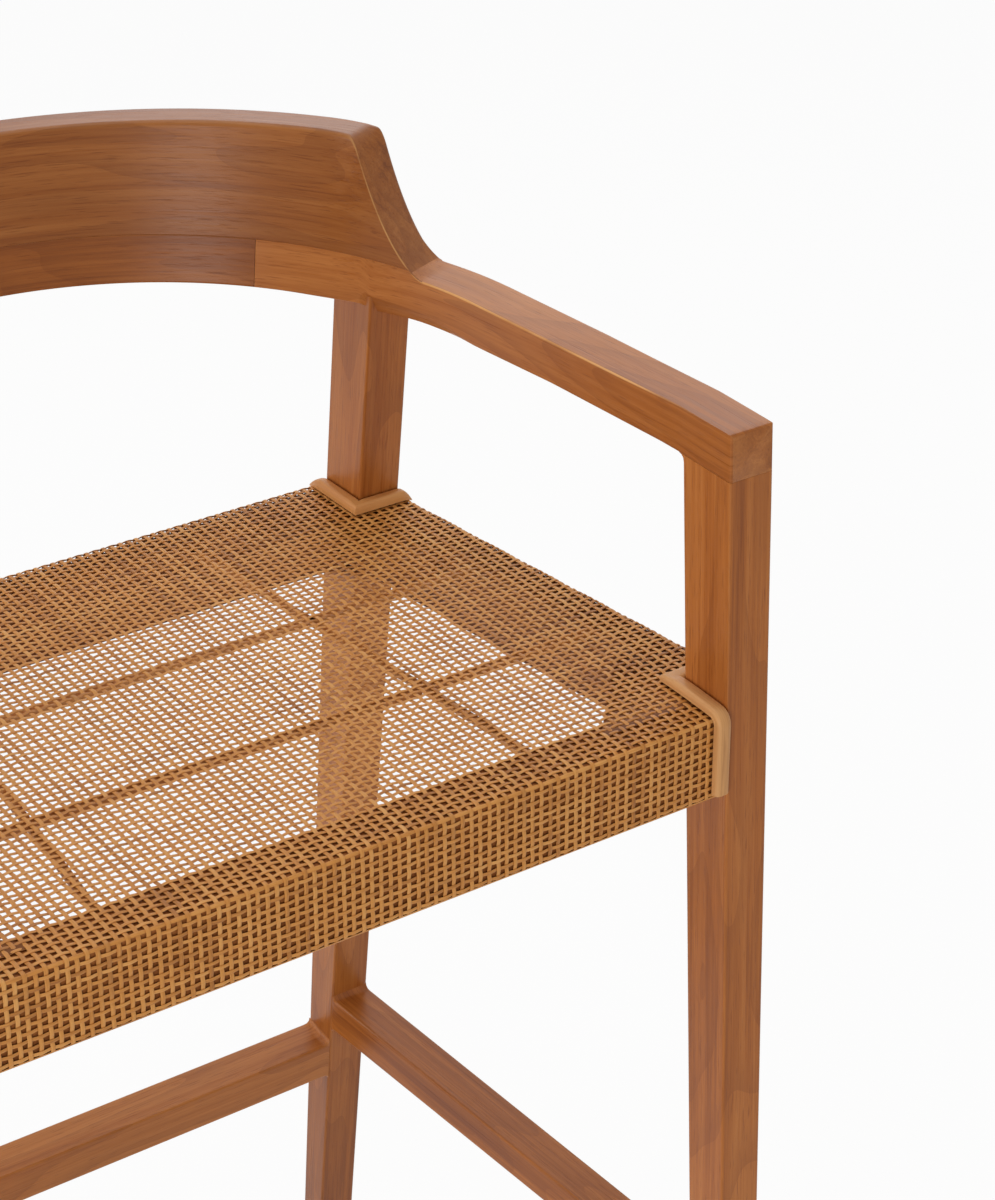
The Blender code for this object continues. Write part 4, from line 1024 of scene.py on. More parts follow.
    def nosed(self, corners: Array, inner: Array) -> tuple[Array, Array]:
        """Round the arm's front end: sections draw in by R(1 - cos t) at R(1 - sin t) from the end.

        Args:
            corners: Sections of the arm.
            inner: Its inner plan points.

        Returns:
            Both, with the rounded end.
        """
        r = self.sizes.edge_round
        t = np.linspace(0.0, np.pi / 2.0, self.nose_steps)[:, None, None]
        inwards = np.array([[1.0, 0.0, 0.0], [-1.0, 0.0, 0.0], [-1.0, 0.0, -1.0], [1.0, 0.0, -1.0]])
        back = np.array([0.0, 1.0, 0.0])
        nose = corners[-1] + r * (1.0 - np.sin(t)) * back + r * (1.0 - np.cos(t)) * inwards
        path = np.repeat(inner[-1:], self.nose_steps, axis=0)
        path[:, 1] += r * (1.0 - np.sin(t[:, 0, 0]))
        return np.concatenate([corners[:-1], nose]), np.concatenate([inner[:-1], path])

    def crest(self) -> None:
        """Crest board, with closer sections along its swept ends."""
        s = self.sizes
        start = self.shoulder - self.crest_lead
        sweep = np.linspace(start, self.tip, self.crest_count)
        angle = np.concatenate([sweep[:0:-1], self.angles(start, -start), -sweep[1:]])
        inner, normal = self.arc_sections(angle)
        swept = smooth_step((np.abs(angle) - self.shoulder + self.crest_lead) / self.crest_ease)
        skew = np.sign(angle) * (self.outer_tip - self.tip) * progress(np.abs(angle), self.shoulder, self.tip)
        outer = self.arc(angle + skew, s.band_radius + s.band_width)
        corners = self.ruled(inner, outer, normal, self.lean(angle), True)
        inside, outside = ((corners[:, high, 2] - corners[:, low, 2]) / self.arris_share
                           for high, low in ((3, 0), (2, 1)))
        radii = np.tile(np.minimum(self.joint_round, inside)[:, None], 4)
        radii[:, 2] = np.minimum(self.crest_round, outside)
        radii[:, 3] = np.minimum(between(self.crest_round, self.arris, swept), inside)
        wear = np.full(corners.shape[:2], self.wear)
        wear[:, 3] += self.sweep_wear * swept
        self.timber.piece("crest_board", corners, radii, -angle * s.band_radius, tint=self.crest_tint,
                          wear=wear)


@dataclass
class Stretchers:
    """Footrest, back stretcher and side stretchers, flush with the legs' faces."""

    sizes: StoolSizes
    timber: Timber
    height: float = 0.032
    side_top: float = 0.304
    side_fall: float = 0.0305
    side_height: Pair = (0.0245, 0.029)
    cross_top: float = 0.2606
    fillet: float = 0.0045
    low_fillet: float = -0.6
    count: int = 41
    tint: float = 0.98

    def build(self) -> None:
        """Make all four."""
        s = self.sizes
        for side in Side:
            self.side_rail(side)
        self.cross("footrest", s.front_inner, s.front_leg_front, s.front_leg_rear)
        self.cross("stretcher_back", s.rear_inner, s.rear_leg_front, s.rear_leg_rear)

    def spread(self) -> Array:
        """Shares along a piece, closer at both ends."""
        return 0.5 - 0.5 * np.cos(np.pi * np.linspace(0.0, 1.0, self.count))

    def rise(self, near: Array, is_top: int) -> Array:
        """Small fillet near a leg, up from the top edges and less far down from the low ones."""
        return flare(near, self.fillet) * (1.0 if is_top else self.low_fillet)

    def side_rail(self, side: Side) -> None:
        """Rail that falls from the rear leg to the front leg, with small fillets where it meets them.

        Args:
            side: Which half of the stool.
        """
        s = self.sizes
        t = self.spread()
        corners = []
        for is_out, is_top in SQUARE:
            front = self.side_top - self.side_fall - (0.0 if is_top else self.side_height[0])
            rear = self.side_top - (0.0 if is_top else self.side_height[1])
            start = s.front_leg_rear(front) + s.joint_gap
            end = s.rear_leg_front(rear) - s.joint_gap
            z = between(front, rear, t)
            y = between(start, end, t)
            x = between(s.front_inner, s.rear_inner, t) + s.leg_width(z) * is_out
            corners.append((x, y, z + self.rise(np.minimum(y - start, end - y), is_top)))
        corners = corner_sections(*corners)
        self.timber.piece("stretcher_" + side.label, corners[:, ::-1], s.edge_round, corners[:, 0, 1], side,
                          self.tint)

    def cross(self, node: str, inner: float, front: Face, rear: Face) -> None:
        """Rail across the stool, square to the leaning legs.

        Args:
            node: CAD node that it stands for.
            inner: Place of the legs' inner faces.
            front: Depth of the legs' front face by height.
            rear: Depth of the legs' rear face by height.
        """
        s = self.sizes
        reach = inner - s.joint_gap
        x = between(-reach, reach, self.spread())
        lean = (front(0.0) - front(s.seat_height)) / s.seat_height
        corners = []
        for is_back, is_top in SQUARE:
            level = self.cross_top - (0.0 if is_top else self.height)
            y = rear(level) if is_back else front(level)
            middle = (front(level) + rear(level)) / 2.0
            corners.append((x, y, level + lean * (y - middle) + self.rise(reach - np.abs(x), is_top)))
        self.timber.piece(node, corner_sections(*corners), s.edge_round, x, tint=self.tint)


# Woven seat

class Fold:
    """A rounded path through flat points, read by arc length with its outward normal."""

    samples = 9
    straight = math.radians(89.5)

    def __init__(self, points: list[Pair], radii: list[float]) -> None:
        """Lay the path; the outward normal lies to the left of its direction of travel.

        Args:
            points: Plane points in order.
            radii: Rounding of each point, zero at the ends.
        """
        corners = np.array(points)
        path = [corners[0]]
        bends = []
        t = np.linspace(0.0, 1.0, self.samples)[:, None]
        for start, corner, end, radius in zip(corners, corners[1:], corners[2:], radii[1:]):
            before, after = unit(start - corner), unit(end - corner)
            half = math.acos(np.clip(before @ after, -1.0, 1.0)) / 2.0
            if radius <= 0.0 or half > self.straight:
                path.append(corner)
                continue
            reach = radius / math.tan(half)
            centre = corner + unit(before + after) * radius / math.sin(half)
            first, last = corner + before * reach, corner + after * reach
            arc = unit(unit(first - centre) * (1 - t) + unit(last - centre) * t)
            bends.append(len(path) + self.samples // 2)
            path.extend(centre + arc * radius)
        path.append(corners[-1])
        self.path = np.array(path)
        self.length = travel(self.path)
        self.bends = self.length[bends]
        direction = unit(np.gradient(self.path, axis=0))
        self.normal = np.stack([-direction[:, 1], direction[:, 0]], -1)

    def at(self, length: Array) -> tuple[Array, Array, Array, Array]:
        """Place and normal at arc lengths: two coordinates of each.

        Args:
            length: Arc lengths.

        Returns:
            Two coordinates of the place, then two of the normal.
        """
        columns = [np.interp(length, self.length, values) for values in (*self.path.T, *self.normal.T)]
        size = np.maximum(np.hypot(columns[2], columns[3]), TINY)
        return columns[0], columns[1], columns[2] / size, columns[3] / size

    def length_at(self, value: float, first: float) -> float:
        """Arc length, after a first one, where the first coordinate has grown to a value."""
        keep = self.length >= first
        return float(np.interp(value, self.path[keep, 0], self.length[keep]))


@dataclass(frozen=True)
class Wander:
    """Small sideways wander of strands: one random shift for each, and a wave along it."""

    spread: float
    wave: float
    rate: float
    step: float

    def shifts(self, run: Array, order: Array, rng: np.random.Generator) -> Array:
        """Shifts along each strand: N(0, spread) + wave sin(rate run + step order)."""
        fixed = rng.normal(0.0, self.spread, len(order))[:, None]
        return fixed + self.wave * np.sin(run * self.rate + order * self.step)


@dataclass
class WovenSeat:
    """Plain weave of split cane, folded over the seat rails and down the front.

    Warps run front to back and wefts run side to side. A strand's middle line swings above and
    below the sheet by a cosine that changes sign from one crossing to the next.
    """

    sizes: StoolSizes
    warp_pitch: float = 0.0063
    weft_pitch: float = 0.00525
    warp_width: float = 0.0028
    weft_width: float = 0.0023
    thickness: float = 0.0009
    swing: float = 0.00036
    section: tuple[float, ...] = (20.0, 62.0, 118.0, 160.0, 228.0, 312.0)
    sheet_depth: float = 0.0014
    panel_y: float = -0.0005
    front_fall: float = 0.0082
    nose_fall: float = 0.0021
    nose_power: float = 1.5
    panel_drop: float = 0.0685
    skirt_drop: float = 0.0590
    under: float = 0.012
    warp_under: float = 0.6
    weft_under: float = 0.8
    front_fold: float = 0.0034
    edge_fold: float = 0.0025
    low_fold: float = 0.0030
    slope_start: float = 2.5
    slope_count: int = 16
    back_y: float = 0.403
    side_proud: float = 0.0043
    fold_start: float = 0.06
    level: float = 0.99
    edge_lift: float = -0.0005
    hem_lift: float = 0.0003
    start_gap: float = 0.0012
    end_gap: float = 0.0008
    warp_wander: Wander = Wander(spread=0.00018, wave=0.00022, rate=37.0, step=2.1)
    weft_wander: Wander = Wander(spread=0.00015, wave=0.00018, rate=31.0, step=1.7)
    first_weft: float = 500.0
    samples: int = 4
    groups: int = 4

    def __post_init__(self) -> None:
        """Lay the two fold paths: front to back, and middle to side."""
        inset = self.sheet_depth
        front = self.panel_y + inset
        back = self.back_y - inset
        drop = inset - self.skirt_drop
        y = np.linspace(front + self.slope_start * self.front_fold, self.sizes.rear_front, self.slope_count)
        slope = list(zip(y, -inset - self.fall(y)))
        points = [(front + self.under, -self.panel_drop), (front, -self.panel_drop),
                  (front, -inset - self.fall(front)), *slope, (back, -inset),
                  (back, -self.skirt_drop), (back - self.under, -self.skirt_drop)]
        corners = [self.edge_fold, self.low_fold, 0.0]
        self.lengthways = Fold(points, [0.0, self.low_fold, self.front_fold, *np.zeros(len(slope)), *corners])
        points = [(-self.fold_start, 0.0), (-inset, 0.0), (-inset, drop), (-inset - self.under, drop)]
        self.sideways = Fold(points, [0.0, *corners])

    @property
    def warp_count(self) -> int:
        """Warps on each side of the middle one."""
        half = self.side(self.sizes.front_seat_depth) + self.skirt_drop + self.under * self.warp_under
        return int(half / self.warp_pitch)

    @property
    def top_start(self) -> float:
        """Arc length where the path has turned from the panel to the seat's top."""
        return float(self.lengthways.length[np.argmin(self.lengthways.path[:, 0]) + 1])

    def fall(self, y: Number) -> Number:
        """Drop of the seat's top: even from the rear legs to the front ones, then by share^p to the nose.

        Args:
            y: Depths.

        Returns:
            Drops.
        """
        s = self.sizes
        even = progress(y, s.rear_front, s.front_seat_depth)
        nose = progress(y, s.front_seat_depth, self.panel_y)
        return self.front_fall * even + self.nose_fall * nose ** self.nose_power

    def side(self, y: Number) -> Number:
        """Outer face of the weave at the side, proud of both legs.

        Args:
            y: Depths.

        Returns:
            Distances from the middle.
        """
        s = self.sizes
        width = s.leg_width(s.seat_height)
        front_x = s.front_inner + width + self.side_proud
        rear_x = s.rear_inner + width + self.side_proud
        return front_x + (rear_x - front_x) * (y - s.front_seat_depth) / (s.rear_front - s.front_seat_depth)

    def lean(self, y: Array, down: Array) -> Array:
        """How far a side's weave shifts lengthways with its depth, so that both ends follow the legs.

        Args:
            y: Depths on the top.
            down: Heights over the top, so below 0.

        Returns:
            Shifts.
        """
        s = self.sizes
        top = s.seat_height
        front = s.front_leg_rear(top + down) - s.front_leg_rear(top)
        rear = s.rear_leg_front(top + down) - s.rear_leg_front(top)
        return between(front, rear, progress(y, s.front_seat_depth, s.rear_front))

    def sheet(self, across: Array, length: Array, lift: Array) -> Array:
        """Map the flat sheet onto the folded seat.

        Args:
            across: Distance from the middle, in the flat sheet.
            length: Arc length from the front's lower edge.
            lift: Height over the sheet.

        Returns:
            Places in the stool's own depths.
        """
        y, z, normal_y, normal_z = self.lengthways.at(length)
        slope = self.side(0.0) - self.side(1.0)
        cosine = 1.0 / math.hypot(1.0, slope)
        beyond = (np.abs(across) - self.side(y)) * cosine
        out, down, normal_out, normal_up = self.sideways.at(beyond + self.fold_start)
        outwards = (out + normal_out * lift) * cosine
        x_fold = np.abs(across) - beyond * cosine + outwards
        y_fold = y - beyond * cosine * slope + outwards * slope + self.lean(y, down)
        folded = (beyond > -self.fold_start) & (normal_z > self.level)
        x = np.where(folded, x_fold, np.abs(across)) * np.sign(across)
        y = np.where(folded, y_fold, y + normal_y * lift)
        z = np.where(folded, z + down + normal_up * lift, z + normal_z * lift)
        return np.stack([x, y, z + self.sizes.seat_height], -1)

    def ribbons(self, middle: Array, run: Array, lift: Array, width: float, warp: bool) -> Array:
        """Rings of a lens-shaped ribbon round the middle lines of many strands.

        The section has a crowned top of four points and a flatter underside of two.

        Args:
            middle: Place of each strand across its run (strands, rings).
            run: Place along it.
            lift: Height over the sheet.
            width: Width of a strand.
            warp: Whether the strands run front to back.

        Returns:
            Rings (strands, rings, points, 3).
        """
        turn = np.radians(self.section)
        aside = np.cos(turn) * width / 2.0 / math.cos(turn[0])
        offset = middle[:, :, None] + (aside if warp else -aside)
        heights = lift[:, :, None] + np.sin(turn) * self.thickness / 2.0
        runs = np.broadcast_to(run[:, :, None], offset.shape)
        return self.sheet(offset, runs, heights) if warp else self.sheet(runs, offset, heights)

    def build(self) -> None:
        """Weave warps and wefts, in a few groups each."""
        s = self.sizes
        nose, tail = self.lengthways.bends[1:3]
        pitch = (tail - nose) / round((tail - nose) / self.weft_pitch)
        faces = (s.front_leg_rear(s.seat_height) + s.fit, s.rear_leg_front(s.seat_height) - s.fit)
        notch = tuple(self.lengthways.length_at(y, self.top_start) for y in faces)
        rng = np.random.default_rng(SEED)
        self.weave_warps(notch, nose, pitch, rng)
        self.weave_wefts(notch, nose, pitch, rng)

    def weave_warps(self, notch: Pair, nose: float, pitch: float, rng: np.random.Generator) -> None:
        """Strands from front to back, with one more inside each side fold and one on each side's hem.

        Args:
            notch: Arc lengths where strands outside the legs' inner faces start and end.
            nose: Arc length of the weft on the front fold.
            pitch: Pitch of the wefts.
            rng: Source of the strands' small wander.
        """
        s = self.sizes
        order = np.arange(2 * self.warp_count + 1)[:, None]
        warps = (order - self.warp_count) * self.warp_pitch
        clear = self.warp_width / 2.0 + s.fit
        total = self.lengthways.length[-1]
        low, high = notch[0] + self.start_gap, notch[1] - self.end_gap
        start = np.where(np.abs(warps) < s.front_inner - clear, 0.0, low)
        end = np.where(np.abs(warps) < s.rear_inner - clear, total, high)
        t = np.linspace(0.0, 1.0, int(total / pitch * self.samples))
        run = between(start, end, t)
        phase = np.cos(np.pi * ((run - nose) / pitch + order))
        warps = warps + self.warp_wander.shifts(run, order, rng)
        edge_run = between(low, high, t)
        fold = self.side(self.lengthways.at(edge_run)[0]) - self.fold_start
        edges = np.stack([sign * (fold + bend) for sign in (-1.0, 1.0) for bend in self.sideways.bends])
        edge_lift = np.array([self.edge_lift, self.hem_lift] * 2)[:, None]
        middle = np.concatenate([edges, warps])
        run = np.concatenate([np.broadcast_to(edge_run, edges.shape), run])
        lift = np.concatenate([np.broadcast_to(edge_lift, edges.shape), self.swing * phase])
        self.strands("seat_warps", middle, run, lift, self.warp_width, True)

    def weave_wefts(self, notch: Pair, nose: float, pitch: float, rng: np.random.Generator) -> None:
        """Strands from side to side, with one hem strand at the front's lower edge and two at the back's.

        In front of and behind the legs' faces they end at the legs.

        Args:
            notch: Arc lengths of the legs' faces.
            nose: Arc length of the weft on the front fold.
            pitch: Pitch of the wefts.
            rng: Source of the strands' small wander.
        """
        s = self.sizes
        clear = self.weft_width / 2.0
        front_hem, back_hem = self.lengthways.bends[[0, -1]]
        hems = np.array([front_hem, back_hem - self.weft_width, back_hem])
        order = np.arange(-int(nose / pitch), int((self.lengthways.length[-1] - nose) / pitch) + 1)
        length = nose + order * pitch
        kept = (length > hems[0] + self.weft_width) & (length < hems[1] - self.weft_width)
        order = np.concatenate([order[kept], np.zeros(len(hems), dtype=int)])[:, None]
        length = np.concatenate([length[kept], hems])[:, None]
        skirt = self.skirt_drop + self.under * self.weft_under
        reach = self.side(self.lengthways.at(length)[0]) + skirt
        reach = np.where(length < notch[0] + clear, s.front_inner - self.end_gap, reach)
        reach = np.where(length > notch[1] - clear, s.rear_inner - self.end_gap, reach)
        run = reach * np.linspace(-1.0, 1.0, int(2.0 * reach.max() / self.warp_pitch * self.samples))
        lift = -self.swing * np.cos(np.pi * (run / self.warp_pitch + order + self.warp_count))
        lift[-len(hems):] = self.hem_lift
        middle = length + self.weft_wander.shifts(run, order, rng)
        self.strands("seat_wefts", middle, run, lift, self.weft_width, False)

    def strands(self, name: str, middle: Array, run: Array, lift: Array, width: float, warp: bool) -> None:
        """Make the ribbons in groups and dress them.

        Args:
            name: Start of the objects' names.
            middle: Place of each strand across its run (strands, rings).
            run: Place along it.
            lift: Height over the sheet.
            width: Width of a strand.
            warp: Whether the strands run front to back.
        """
        for number, rows in enumerate(np.array_split(np.arange(len(middle)), self.groups), start=1):
            points = self.ribbons(middle[rows], run[rows], lift[rows], width, warp) + self.sizes.origin
            obj = mesh_from_grid(f"{name}_{number}", points[:, :, ::-1] if warp else points)
            strand = rows + (0.0 if warp else self.first_weft)
            across = np.linspace(-1.0, 1.0, len(self.section))
            store(obj, "strand", run[rows][:, :, None], across, strand[:, None, None])
            place(obj, CANE.material(f"{name}_{number}_cane"), "rattan_weave", "woven_seat")


# Seat rails

@dataclass
class SeatRails:
    """Front and side rails and the long battens, drawn up under the falling weave."""

    sizes: StoolSizes
    timber: Timber
    seat: WovenSeat
    clear: float = 0.0026
    thickness: float = 0.024
    height: float = 0.0562
    front_rear: float = 0.0355
    front_low: float = 0.6816
    front_tint: float = 1.6
    batten_top: float = 0.7412
    batten_size: Pair = (0.006, 0.003)
    batten_x: Pair = (0.113, 0.147)
    batten_rear: float = 0.372
    batten_lap: float = 0.001
    batten_round: float = 0.0005
    count: int = 14
    round_over: float = 0.0015
    hem_round: float = 0.0004

    def build(self) -> None:
        """Make the rails and battens."""
        for side in Side:
            self.side_rail(side)
            self.long_batten(side)
        self.front_rail()

    def under(self, y: Number) -> Number:
        """Height of a rail's top under the weave."""
        return self.sizes.seat_height - self.seat.fall(y) - self.clear

    def rounds(self, hem_corner: int) -> Array:
        """Corner reaches of a rail, small at the corner behind the weave's hem."""
        return np.where(np.arange(4) == hem_corner, self.hem_round, self.round_over)

    def side_rail(self, side: Side) -> None:
        """A board from leg to leg whose ends lean with the legs, lofted from the rear.

        Args:
            side: Which half of the stool.
        """
        s = self.sizes
        part = np.linspace(0.0, 1.0, self.count)
        low_y, top_y = (
            between(s.rear_leg_front(z) - s.joint_gap, s.front_leg_rear(z) + s.joint_gap, part)
            for z in (s.seat_height - self.height, s.seat_height)
        )
        top = self.under(top_y)
        low = top - self.height
        outer = self.seat.side(top_y) - self.clear
        inner = outer - self.thickness
        corners = corner_sections((inner, low_y, low), (outer, low_y, low), (outer, top_y, top),
                                  (inner, top_y, top))
        self.timber.piece("seat_rail_" + side.label, corners, self.rounds(hem_corner=1), -top_y, side,
                          finish=RAIL_TEAK)

    def front_rail(self) -> None:
        """A board between the front legs with its top along the nose of the weave."""
        s = self.sizes
        x = np.linspace(-1.0, 1.0, self.count) * (s.front_inner - s.joint_gap)
        front, rear, low = self.seat.panel_y + self.clear, self.front_rear, self.front_low
        corners = corner_sections((x, front, low), (x, rear, low), (x, rear, self.under(rear)),
                                  (x, front, self.under(front)))
        self.timber.piece("seat_rail_front", corners, self.rounds(hem_corner=0), x, tint=self.front_tint,
                          finish=RAIL_TEAK)

    def long_batten(self, side: Side) -> None:
        """A thin strip from the back rail to the front rail, lofted from the rear.

        Args:
            side: Which half of the stool.
        """
        y = np.linspace(self.batten_rear, self.front_rear - self.batten_lap, self.count)
        x = between(*self.batten_x, progress(y, self.batten_rear, y[-1]))
        half = self.batten_size[0] / 2.0
        top = np.minimum(self.batten_top, self.under(y))
        low = top - self.batten_size[1]
        corners = corner_sections((x - half, y, low), (x + half, y, low), (x + half, y, top),
                                  (x - half, y, top))
        # The battens' paler teak is painted light against the shade under the weave.
        self.timber.piece("long_batten_" + side.label, corners, self.batten_round, -y, side,
                          finish=BATTEN_TEAK_PAINTED_LIGHT)


# Bindings

@dataclass(frozen=True)
class Strip:
    """One binding's full width and height, the tapers and droops of its start and end, and its finish."""

    width: float
    height: float
    slope: Pair
    droop: Pair
    finish: Rattan


@dataclass
class Bindings:
    """Half-round split cane strips that hide the weave's cut edges at the legs."""

    sizes: StoolSizes
    seat: WovenSeat
    # The rear strips take the darker cane, which is painted shade.
    rear_strip: Strip = Strip(width=0.0095, height=0.0068, slope=(0.009, 0.016), droop=(0.0028, 0.0028),
                              finish=SPLIT_CANE_PAINTED_SHADE)
    front_strip: Strip = Strip(width=0.0105, height=0.0056, slope=(0.008, 0.0015), droop=(0.0028, 0.0),
                               finish=SPLIT_CANE)
    squareness: float = 3.6
    end_narrowing: float = 0.22
    end_lowering: float = 0.80
    groove: float = 0.0005
    groove_depth: float = 0.10
    mitre: float = 0.0003
    rear_overhang: float = 0.0015
    front_inset: float = 0.001
    ring: int = 24
    spacing: float = 0.0007
    front_count: int = 160
    sharp: float = 38.0
    fibre_width: float = 4.0
    first_number: float = 900.0

    def build(self) -> None:
        """Make both pairs."""
        for side in Side:
            self.rear(side)
            self.front(side)

    def section(self, base: Array, across: Array, up: Array, size: Array) -> Array:
        """Superellipse halves over base points: |x|^n + |z|^n = 1 above a flat underside.

        Args:
            base: Edge points beside the leg.
            across: Direction away from the leg, longer at a mitre.
            up: Direction out of the weave.
            size: Width and height (sections, 2).

        Returns:
            Rings (sections, ring, 3).
        """
        turn = np.linspace(0.0, np.pi, self.ring)
        power = 2.0 / self.squareness
        reach = np.sign(np.cos(turn)) * np.abs(np.cos(turn)) ** power
        rise = np.sin(turn) ** power
        half = size[:, :1, None] / 2.0
        side = across[:, None] * (1.0 - reach[None, :, None]) * half
        top = up[:, None] * rise[None, :, None] * size[:, 1:, None]
        return base[:, None] + side + top

    def sweep(self, node: str, base: Array, across: Array, up: Array, side: Side, strip: Strip) -> None:
        """Sweep one strip along its path.

        Both ends fall in height by 1 - share^2 over their own slope length and droop by share^2, and a
        narrow groove of exp(-(d/g)^2) marks the mitre.

        Args:
            node: CAD node that the strip stands for.
            base: Edge points beside the leg.
            across: Direction away from the leg at each point.
            up: Direction out of the weave at each point.
            side: Which half of the stool.
            strip: Sizes and finish.
        """
        along = travel(base)
        start = np.clip(1.0 - along / strip.slope[0], 0.0, 1.0)
        end = np.clip(1.0 - (along[-1] - along) / strip.slope[1], 0.0, 1.0)
        fall = np.maximum(start, end) ** 2
        base = base - up * (strip.droop[0] * start ** 2 + strip.droop[1] * end ** 2)[:, None]
        mitre = along[np.argmax(np.linalg.norm(across, axis=-1))]
        groove = np.exp(-((along - mitre) / self.groove) ** 2)
        height = (1.0 - self.end_lowering * fall) * (1.0 - self.groove_depth * groove)
        size = np.stack([1.0 - self.end_narrowing * fall, height], -1) * (strip.width, strip.height)
        points = mirror_points(self.section(base, across, up, size) + self.sizes.origin, side)
        obj = mesh_from_grid(node + "_cane", points[None], self.sharp)
        fibres = np.linspace(-1.0, 1.0, self.ring) * self.fibre_width
        store(obj, "strand", along[:, None], fibres, self.first_number + len(node))
        place(obj, strip.finish.material(node + "_finish"), "peeled_rattan", node)

    def dense(self, *points: Array) -> Array:
        """Straight runs between points, sampled closely.

        Args:
            points: Ends of the runs.

        Returns:
            Samples (count, 3).
        """
        runs = []
        for first, last in zip(points, points[1:]):
            count = max(2, int(np.linalg.norm(last - first) / self.spacing))
            runs.append(between(first, last, np.linspace(0.0, 1.0, count, endpoint=False)[:, None]))
        return np.concatenate([*runs, points[-1][None]])

    def rear(self, side: Side) -> None:
        """Along the leg's front face, mitred, then along its inner face.

        Args:
            side: Which half of the stool.
        """
        s = self.sizes
        top = s.seat_height + s.fit
        front = s.rear_leg_front(top + self.rear_strip.height) - s.fit
        x = s.rear_inner - s.fit
        outer = self.seat.side(front) + self.rear_overhang
        corner = np.array([x, front, top])
        base = self.dense(np.array([outer, front, top]), corner,
                          np.array([x, self.seat.back_y + self.rear_overhang, top]))
        at_corner = np.linalg.norm(base - corner, axis=-1) < self.mitre
        across = np.where((base[:, 0] > x + TINY)[:, None], (0.0, -1.0, 0.0), (-1.0, 0.0, 0.0))
        across = np.where(at_corner[:, None], (-1.0, -1.0, 0.0), across)
        up = np.broadcast_to((0.0, 0.0, 1.0), base.shape)
        self.sweep("binding_rear_" + side.label, base, across, up, side, self.rear_strip)

    def front(self, side: Side) -> None:
        """Along the leg's rear face, mitred, forward over the nose and down the front panel.

        Args:
            side: Which half of the stool.
        """
        s = self.sizes
        seat = self.seat
        rear = s.front_leg_rear(s.seat_height) + s.fit
        top = s.seat_height - seat.fall(rear) + s.fit
        x = s.front_inner - s.fit
        outer = seat.side(rear) - self.front_inset
        first = self.dense(np.array([outer, rear, top]), np.array([x, rear, top]))[:-1]
        length = np.linspace(seat.lengthways.length_at(rear, seat.top_start), 0.0, self.front_count)
        y, z, normal_y, normal_z = seat.lengthways.at(length)
        lift = seat.sheet_depth + s.fit
        second = np.stack([np.full_like(y, x), y + normal_y * lift, s.seat_height + z + normal_z * lift], -1)
        second_up = np.stack([np.zeros_like(y), normal_y, normal_z], -1)
        kept = z > -seat.panel_drop + seat.low_fold
        base = np.concatenate([first, second[kept]])
        up = np.concatenate([np.tile((0.0, 0.0, 1.0), (len(first), 1)), second_up[kept]])
        across = np.where((np.arange(len(base)) < len(first))[:, None], (0.0, 1.0, 0.0), (-1.0, 0.0, 0.0))
        across[len(first)] = (-1.0, 1.0, 0.0)
        self.sweep("binding_front_" + side.label, base, across, up, side, self.front_strip)


# Parts that keep their solids

class HiddenParts:
    """The seat's back rail, corner blocks, cross battens, dowels, screws and glides."""

    grain_shift = (0.21, 0.17, 0.13)

    def build(self) -> None:
        """Dress each node by its kind; those that a new piece stands for don't show."""
        for number, (name, obj) in enumerate(sorted(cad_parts.items())):
            shift = tuple(step * number for step in self.grain_shift)
            if name.startswith(("seat_rail", "corner_block")):
                dress(obj, RAIL_TEAK.material(name + "_teak", shift, solid=True))
            elif "batten" in name:
                # Cross battens take the same paler teak, painted light against the shade under the weave.
                dress(obj, BATTEN_TEAK_PAINTED_LIGHT.material(name + "_teak", shift, solid=True))
            elif "dowel" in name:
                dress(obj, BEECH.material(name + "_beech"))
            elif name.startswith("block_screw"):
                dress(obj, ZINC.material(name + "_zinc"))
            elif name.startswith("foot_glide"):
                dress(obj, NYLON.material(name + "_nylon"))


# Stage

def facing(direction: Vector) -> Euler:
    """Turn of a camera or lamp that looks along a direction."""
    return direction.to_track_quat("-Z", "Y").to_euler()


@dataclass(frozen=True)
class Lamp:
    """A soft square lamp that faces a point."""

    name: str
    where: Triple
    target: Triple
    size: float
    power: float

    def build(self) -> None:
        """Hang the lamp."""
        data = bpy.data.lights.new(self.name, "AREA")
        data.size = self.size
        data.energy = self.power
        lamp = bpy.data.objects.new(self.name, data)
        lamp.location = self.where
        lamp.rotation_euler = facing(Vector(self.target) - Vector(self.where))
        bpy.context.scene.collection.objects.link(lamp)


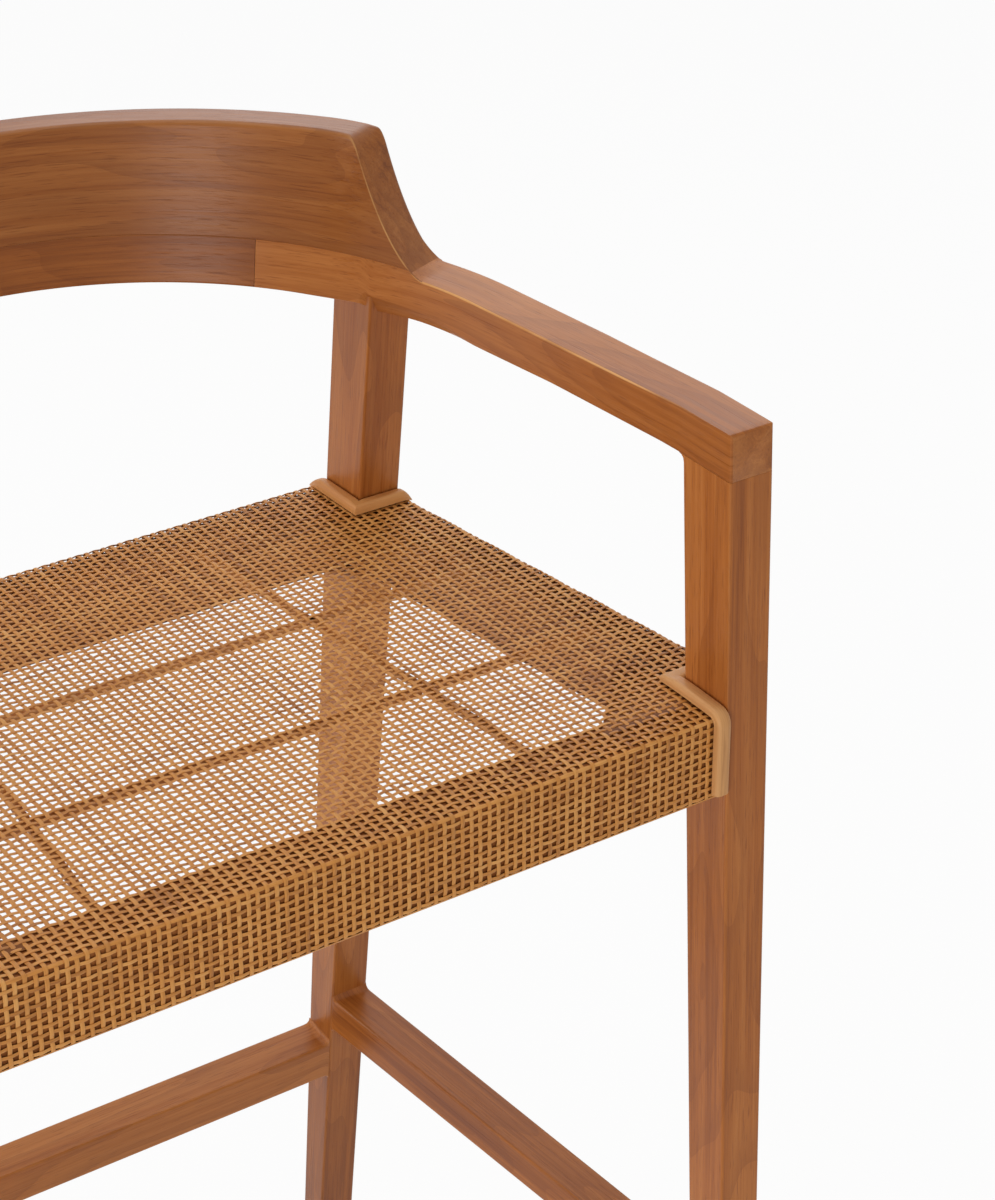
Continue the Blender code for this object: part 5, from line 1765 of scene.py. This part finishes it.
@dataclass
class Stage:
    """White floor, soft lamps and the camera at the photograph's view."""

    sizes: StoolSizes
    eye: Triple = (-0.77598, -1.25382, 1.69254)
    look: Triple = (0.50464, 0.72242, -0.47271)
    lens: float = 92.31
    sensor: float = 36.0
    sky: tuple[float, ...] = (1.0, 0.985, 0.96, 1.0)
    sky_strength: float = 0.45
    white: tuple[float, ...] = (1.0, 1.0, 1.0, 1.0)
    floor_size: float = 60.0
    floor_colour: tuple[float, ...] = (0.80, 0.80, 0.80, 1.0)
    floor_roughness: float = 0.9
    floor_glow: float = 0.94
    lamps: tuple[Lamp, ...] = (
        Lamp("front", (-2.25, -2.2, 1.0), (0.1, 0.2, 0.95), size=1.1, power=28.5),
        Lamp("left", (-2.4, 1.3, 1.2), (0.2, 0.1, 0.7), size=1.5, power=20.0),
        Lamp("back", (1.8, 2.1, 2.3), (0.1, 0.0, 0.85), size=1.6, power=10.0),
        Lamp("top", (0.2, 0.3, 3.2), (0.0, 0.0, 0.8), size=2.2, power=20.0),
    )

    def build(self) -> None:
        """Set up camera, light and floor."""
        scene = bpy.context.scene
        scene.view_settings.view_transform = "Standard"
        data = bpy.data.cameras.new("view")
        data.sensor_fit = "AUTO"
        data.sensor_width = self.sensor
        data.lens = self.lens
        camera = bpy.data.objects.new("view", data)
        camera.location = Vector(self.eye) + Vector(self.sizes.origin)
        camera.rotation_euler = facing(Vector(self.look))
        scene.collection.objects.link(camera)
        scene.camera = camera
        self.world(scene)
        self.floor(scene)
        for lamp in self.lamps:
            lamp.build()

    def world(self, scene: bpy.types.Scene) -> None:
        """Soft even light, and plain white where it shows.

        Args:
            scene: Scene that gets the light.
        """
        nodes = Nodes(bpy.data.worlds.new("studio"))
        light = nodes.tree.nodes["Background"]
        nodes.feed(light, {"Color": self.sky, "Strength": self.sky_strength})
        white = nodes.add("Background", {"Color": self.white})
        mix = nodes.add("MixShader", {0: nodes.seen(), 1: light.outputs[0], 2: white.outputs[0]})
        nodes.feed(nodes.tree.nodes["World Output"], {0: mix.outputs[0]})
        scene.world = nodes.owner

    def floor(self, scene: bpy.types.Scene) -> None:
        """A wide pale floor that shows almost white and keeps a faint shadow.

        Args:
            scene: Scene that gets the floor.
        """
        half = self.floor_size / 2.0
        mesh = bpy.data.meshes.new("floor")
        corners = [(-half + self.floor_size * x, -half + self.floor_size * y, 0.0) for x, y in SQUARE]
        mesh.from_pydata(corners, [], [(0, 1, 2, 3)])
        floor = bpy.data.objects.new("floor", mesh)
        scene.collection.objects.link(floor)
        nodes = Nodes(bpy.data.materials.new("floor_paper"))
        nodes.feed(nodes.shader, {"Base Color": self.floor_colour, "Roughness": self.floor_roughness})
        glow = nodes.add("Emission", {"Strength": 1.0})
        shown = nodes.times(nodes.seen(), self.floor_glow)
        mix = nodes.add("MixShader", {0: shown, 1: nodes.shader.outputs[0], 2: glow.outputs[0]})
        nodes.feed(nodes.tree.nodes["Material Output"], {"Surface": mix.outputs[0]})
        dress(floor, nodes.owner)


def main() -> None:
    """Build the stool's looks in order."""
    logging.basicConfig(level=logging.INFO, format="%(name)s %(message)s")
    sizes = StoolSizes()
    timber = Timber(sizes)
    Legs(sizes, timber).build()
    Horseshoe(sizes, timber).build()
    Stretchers(sizes, timber).build()
    seat = WovenSeat(sizes)
    seat.build()
    SeatRails(sizes, timber, seat).build()
    Bindings(sizes, seat).build()
    HiddenParts().build()
    Stage(sizes).build()


if __name__ == "__main__":
    main()
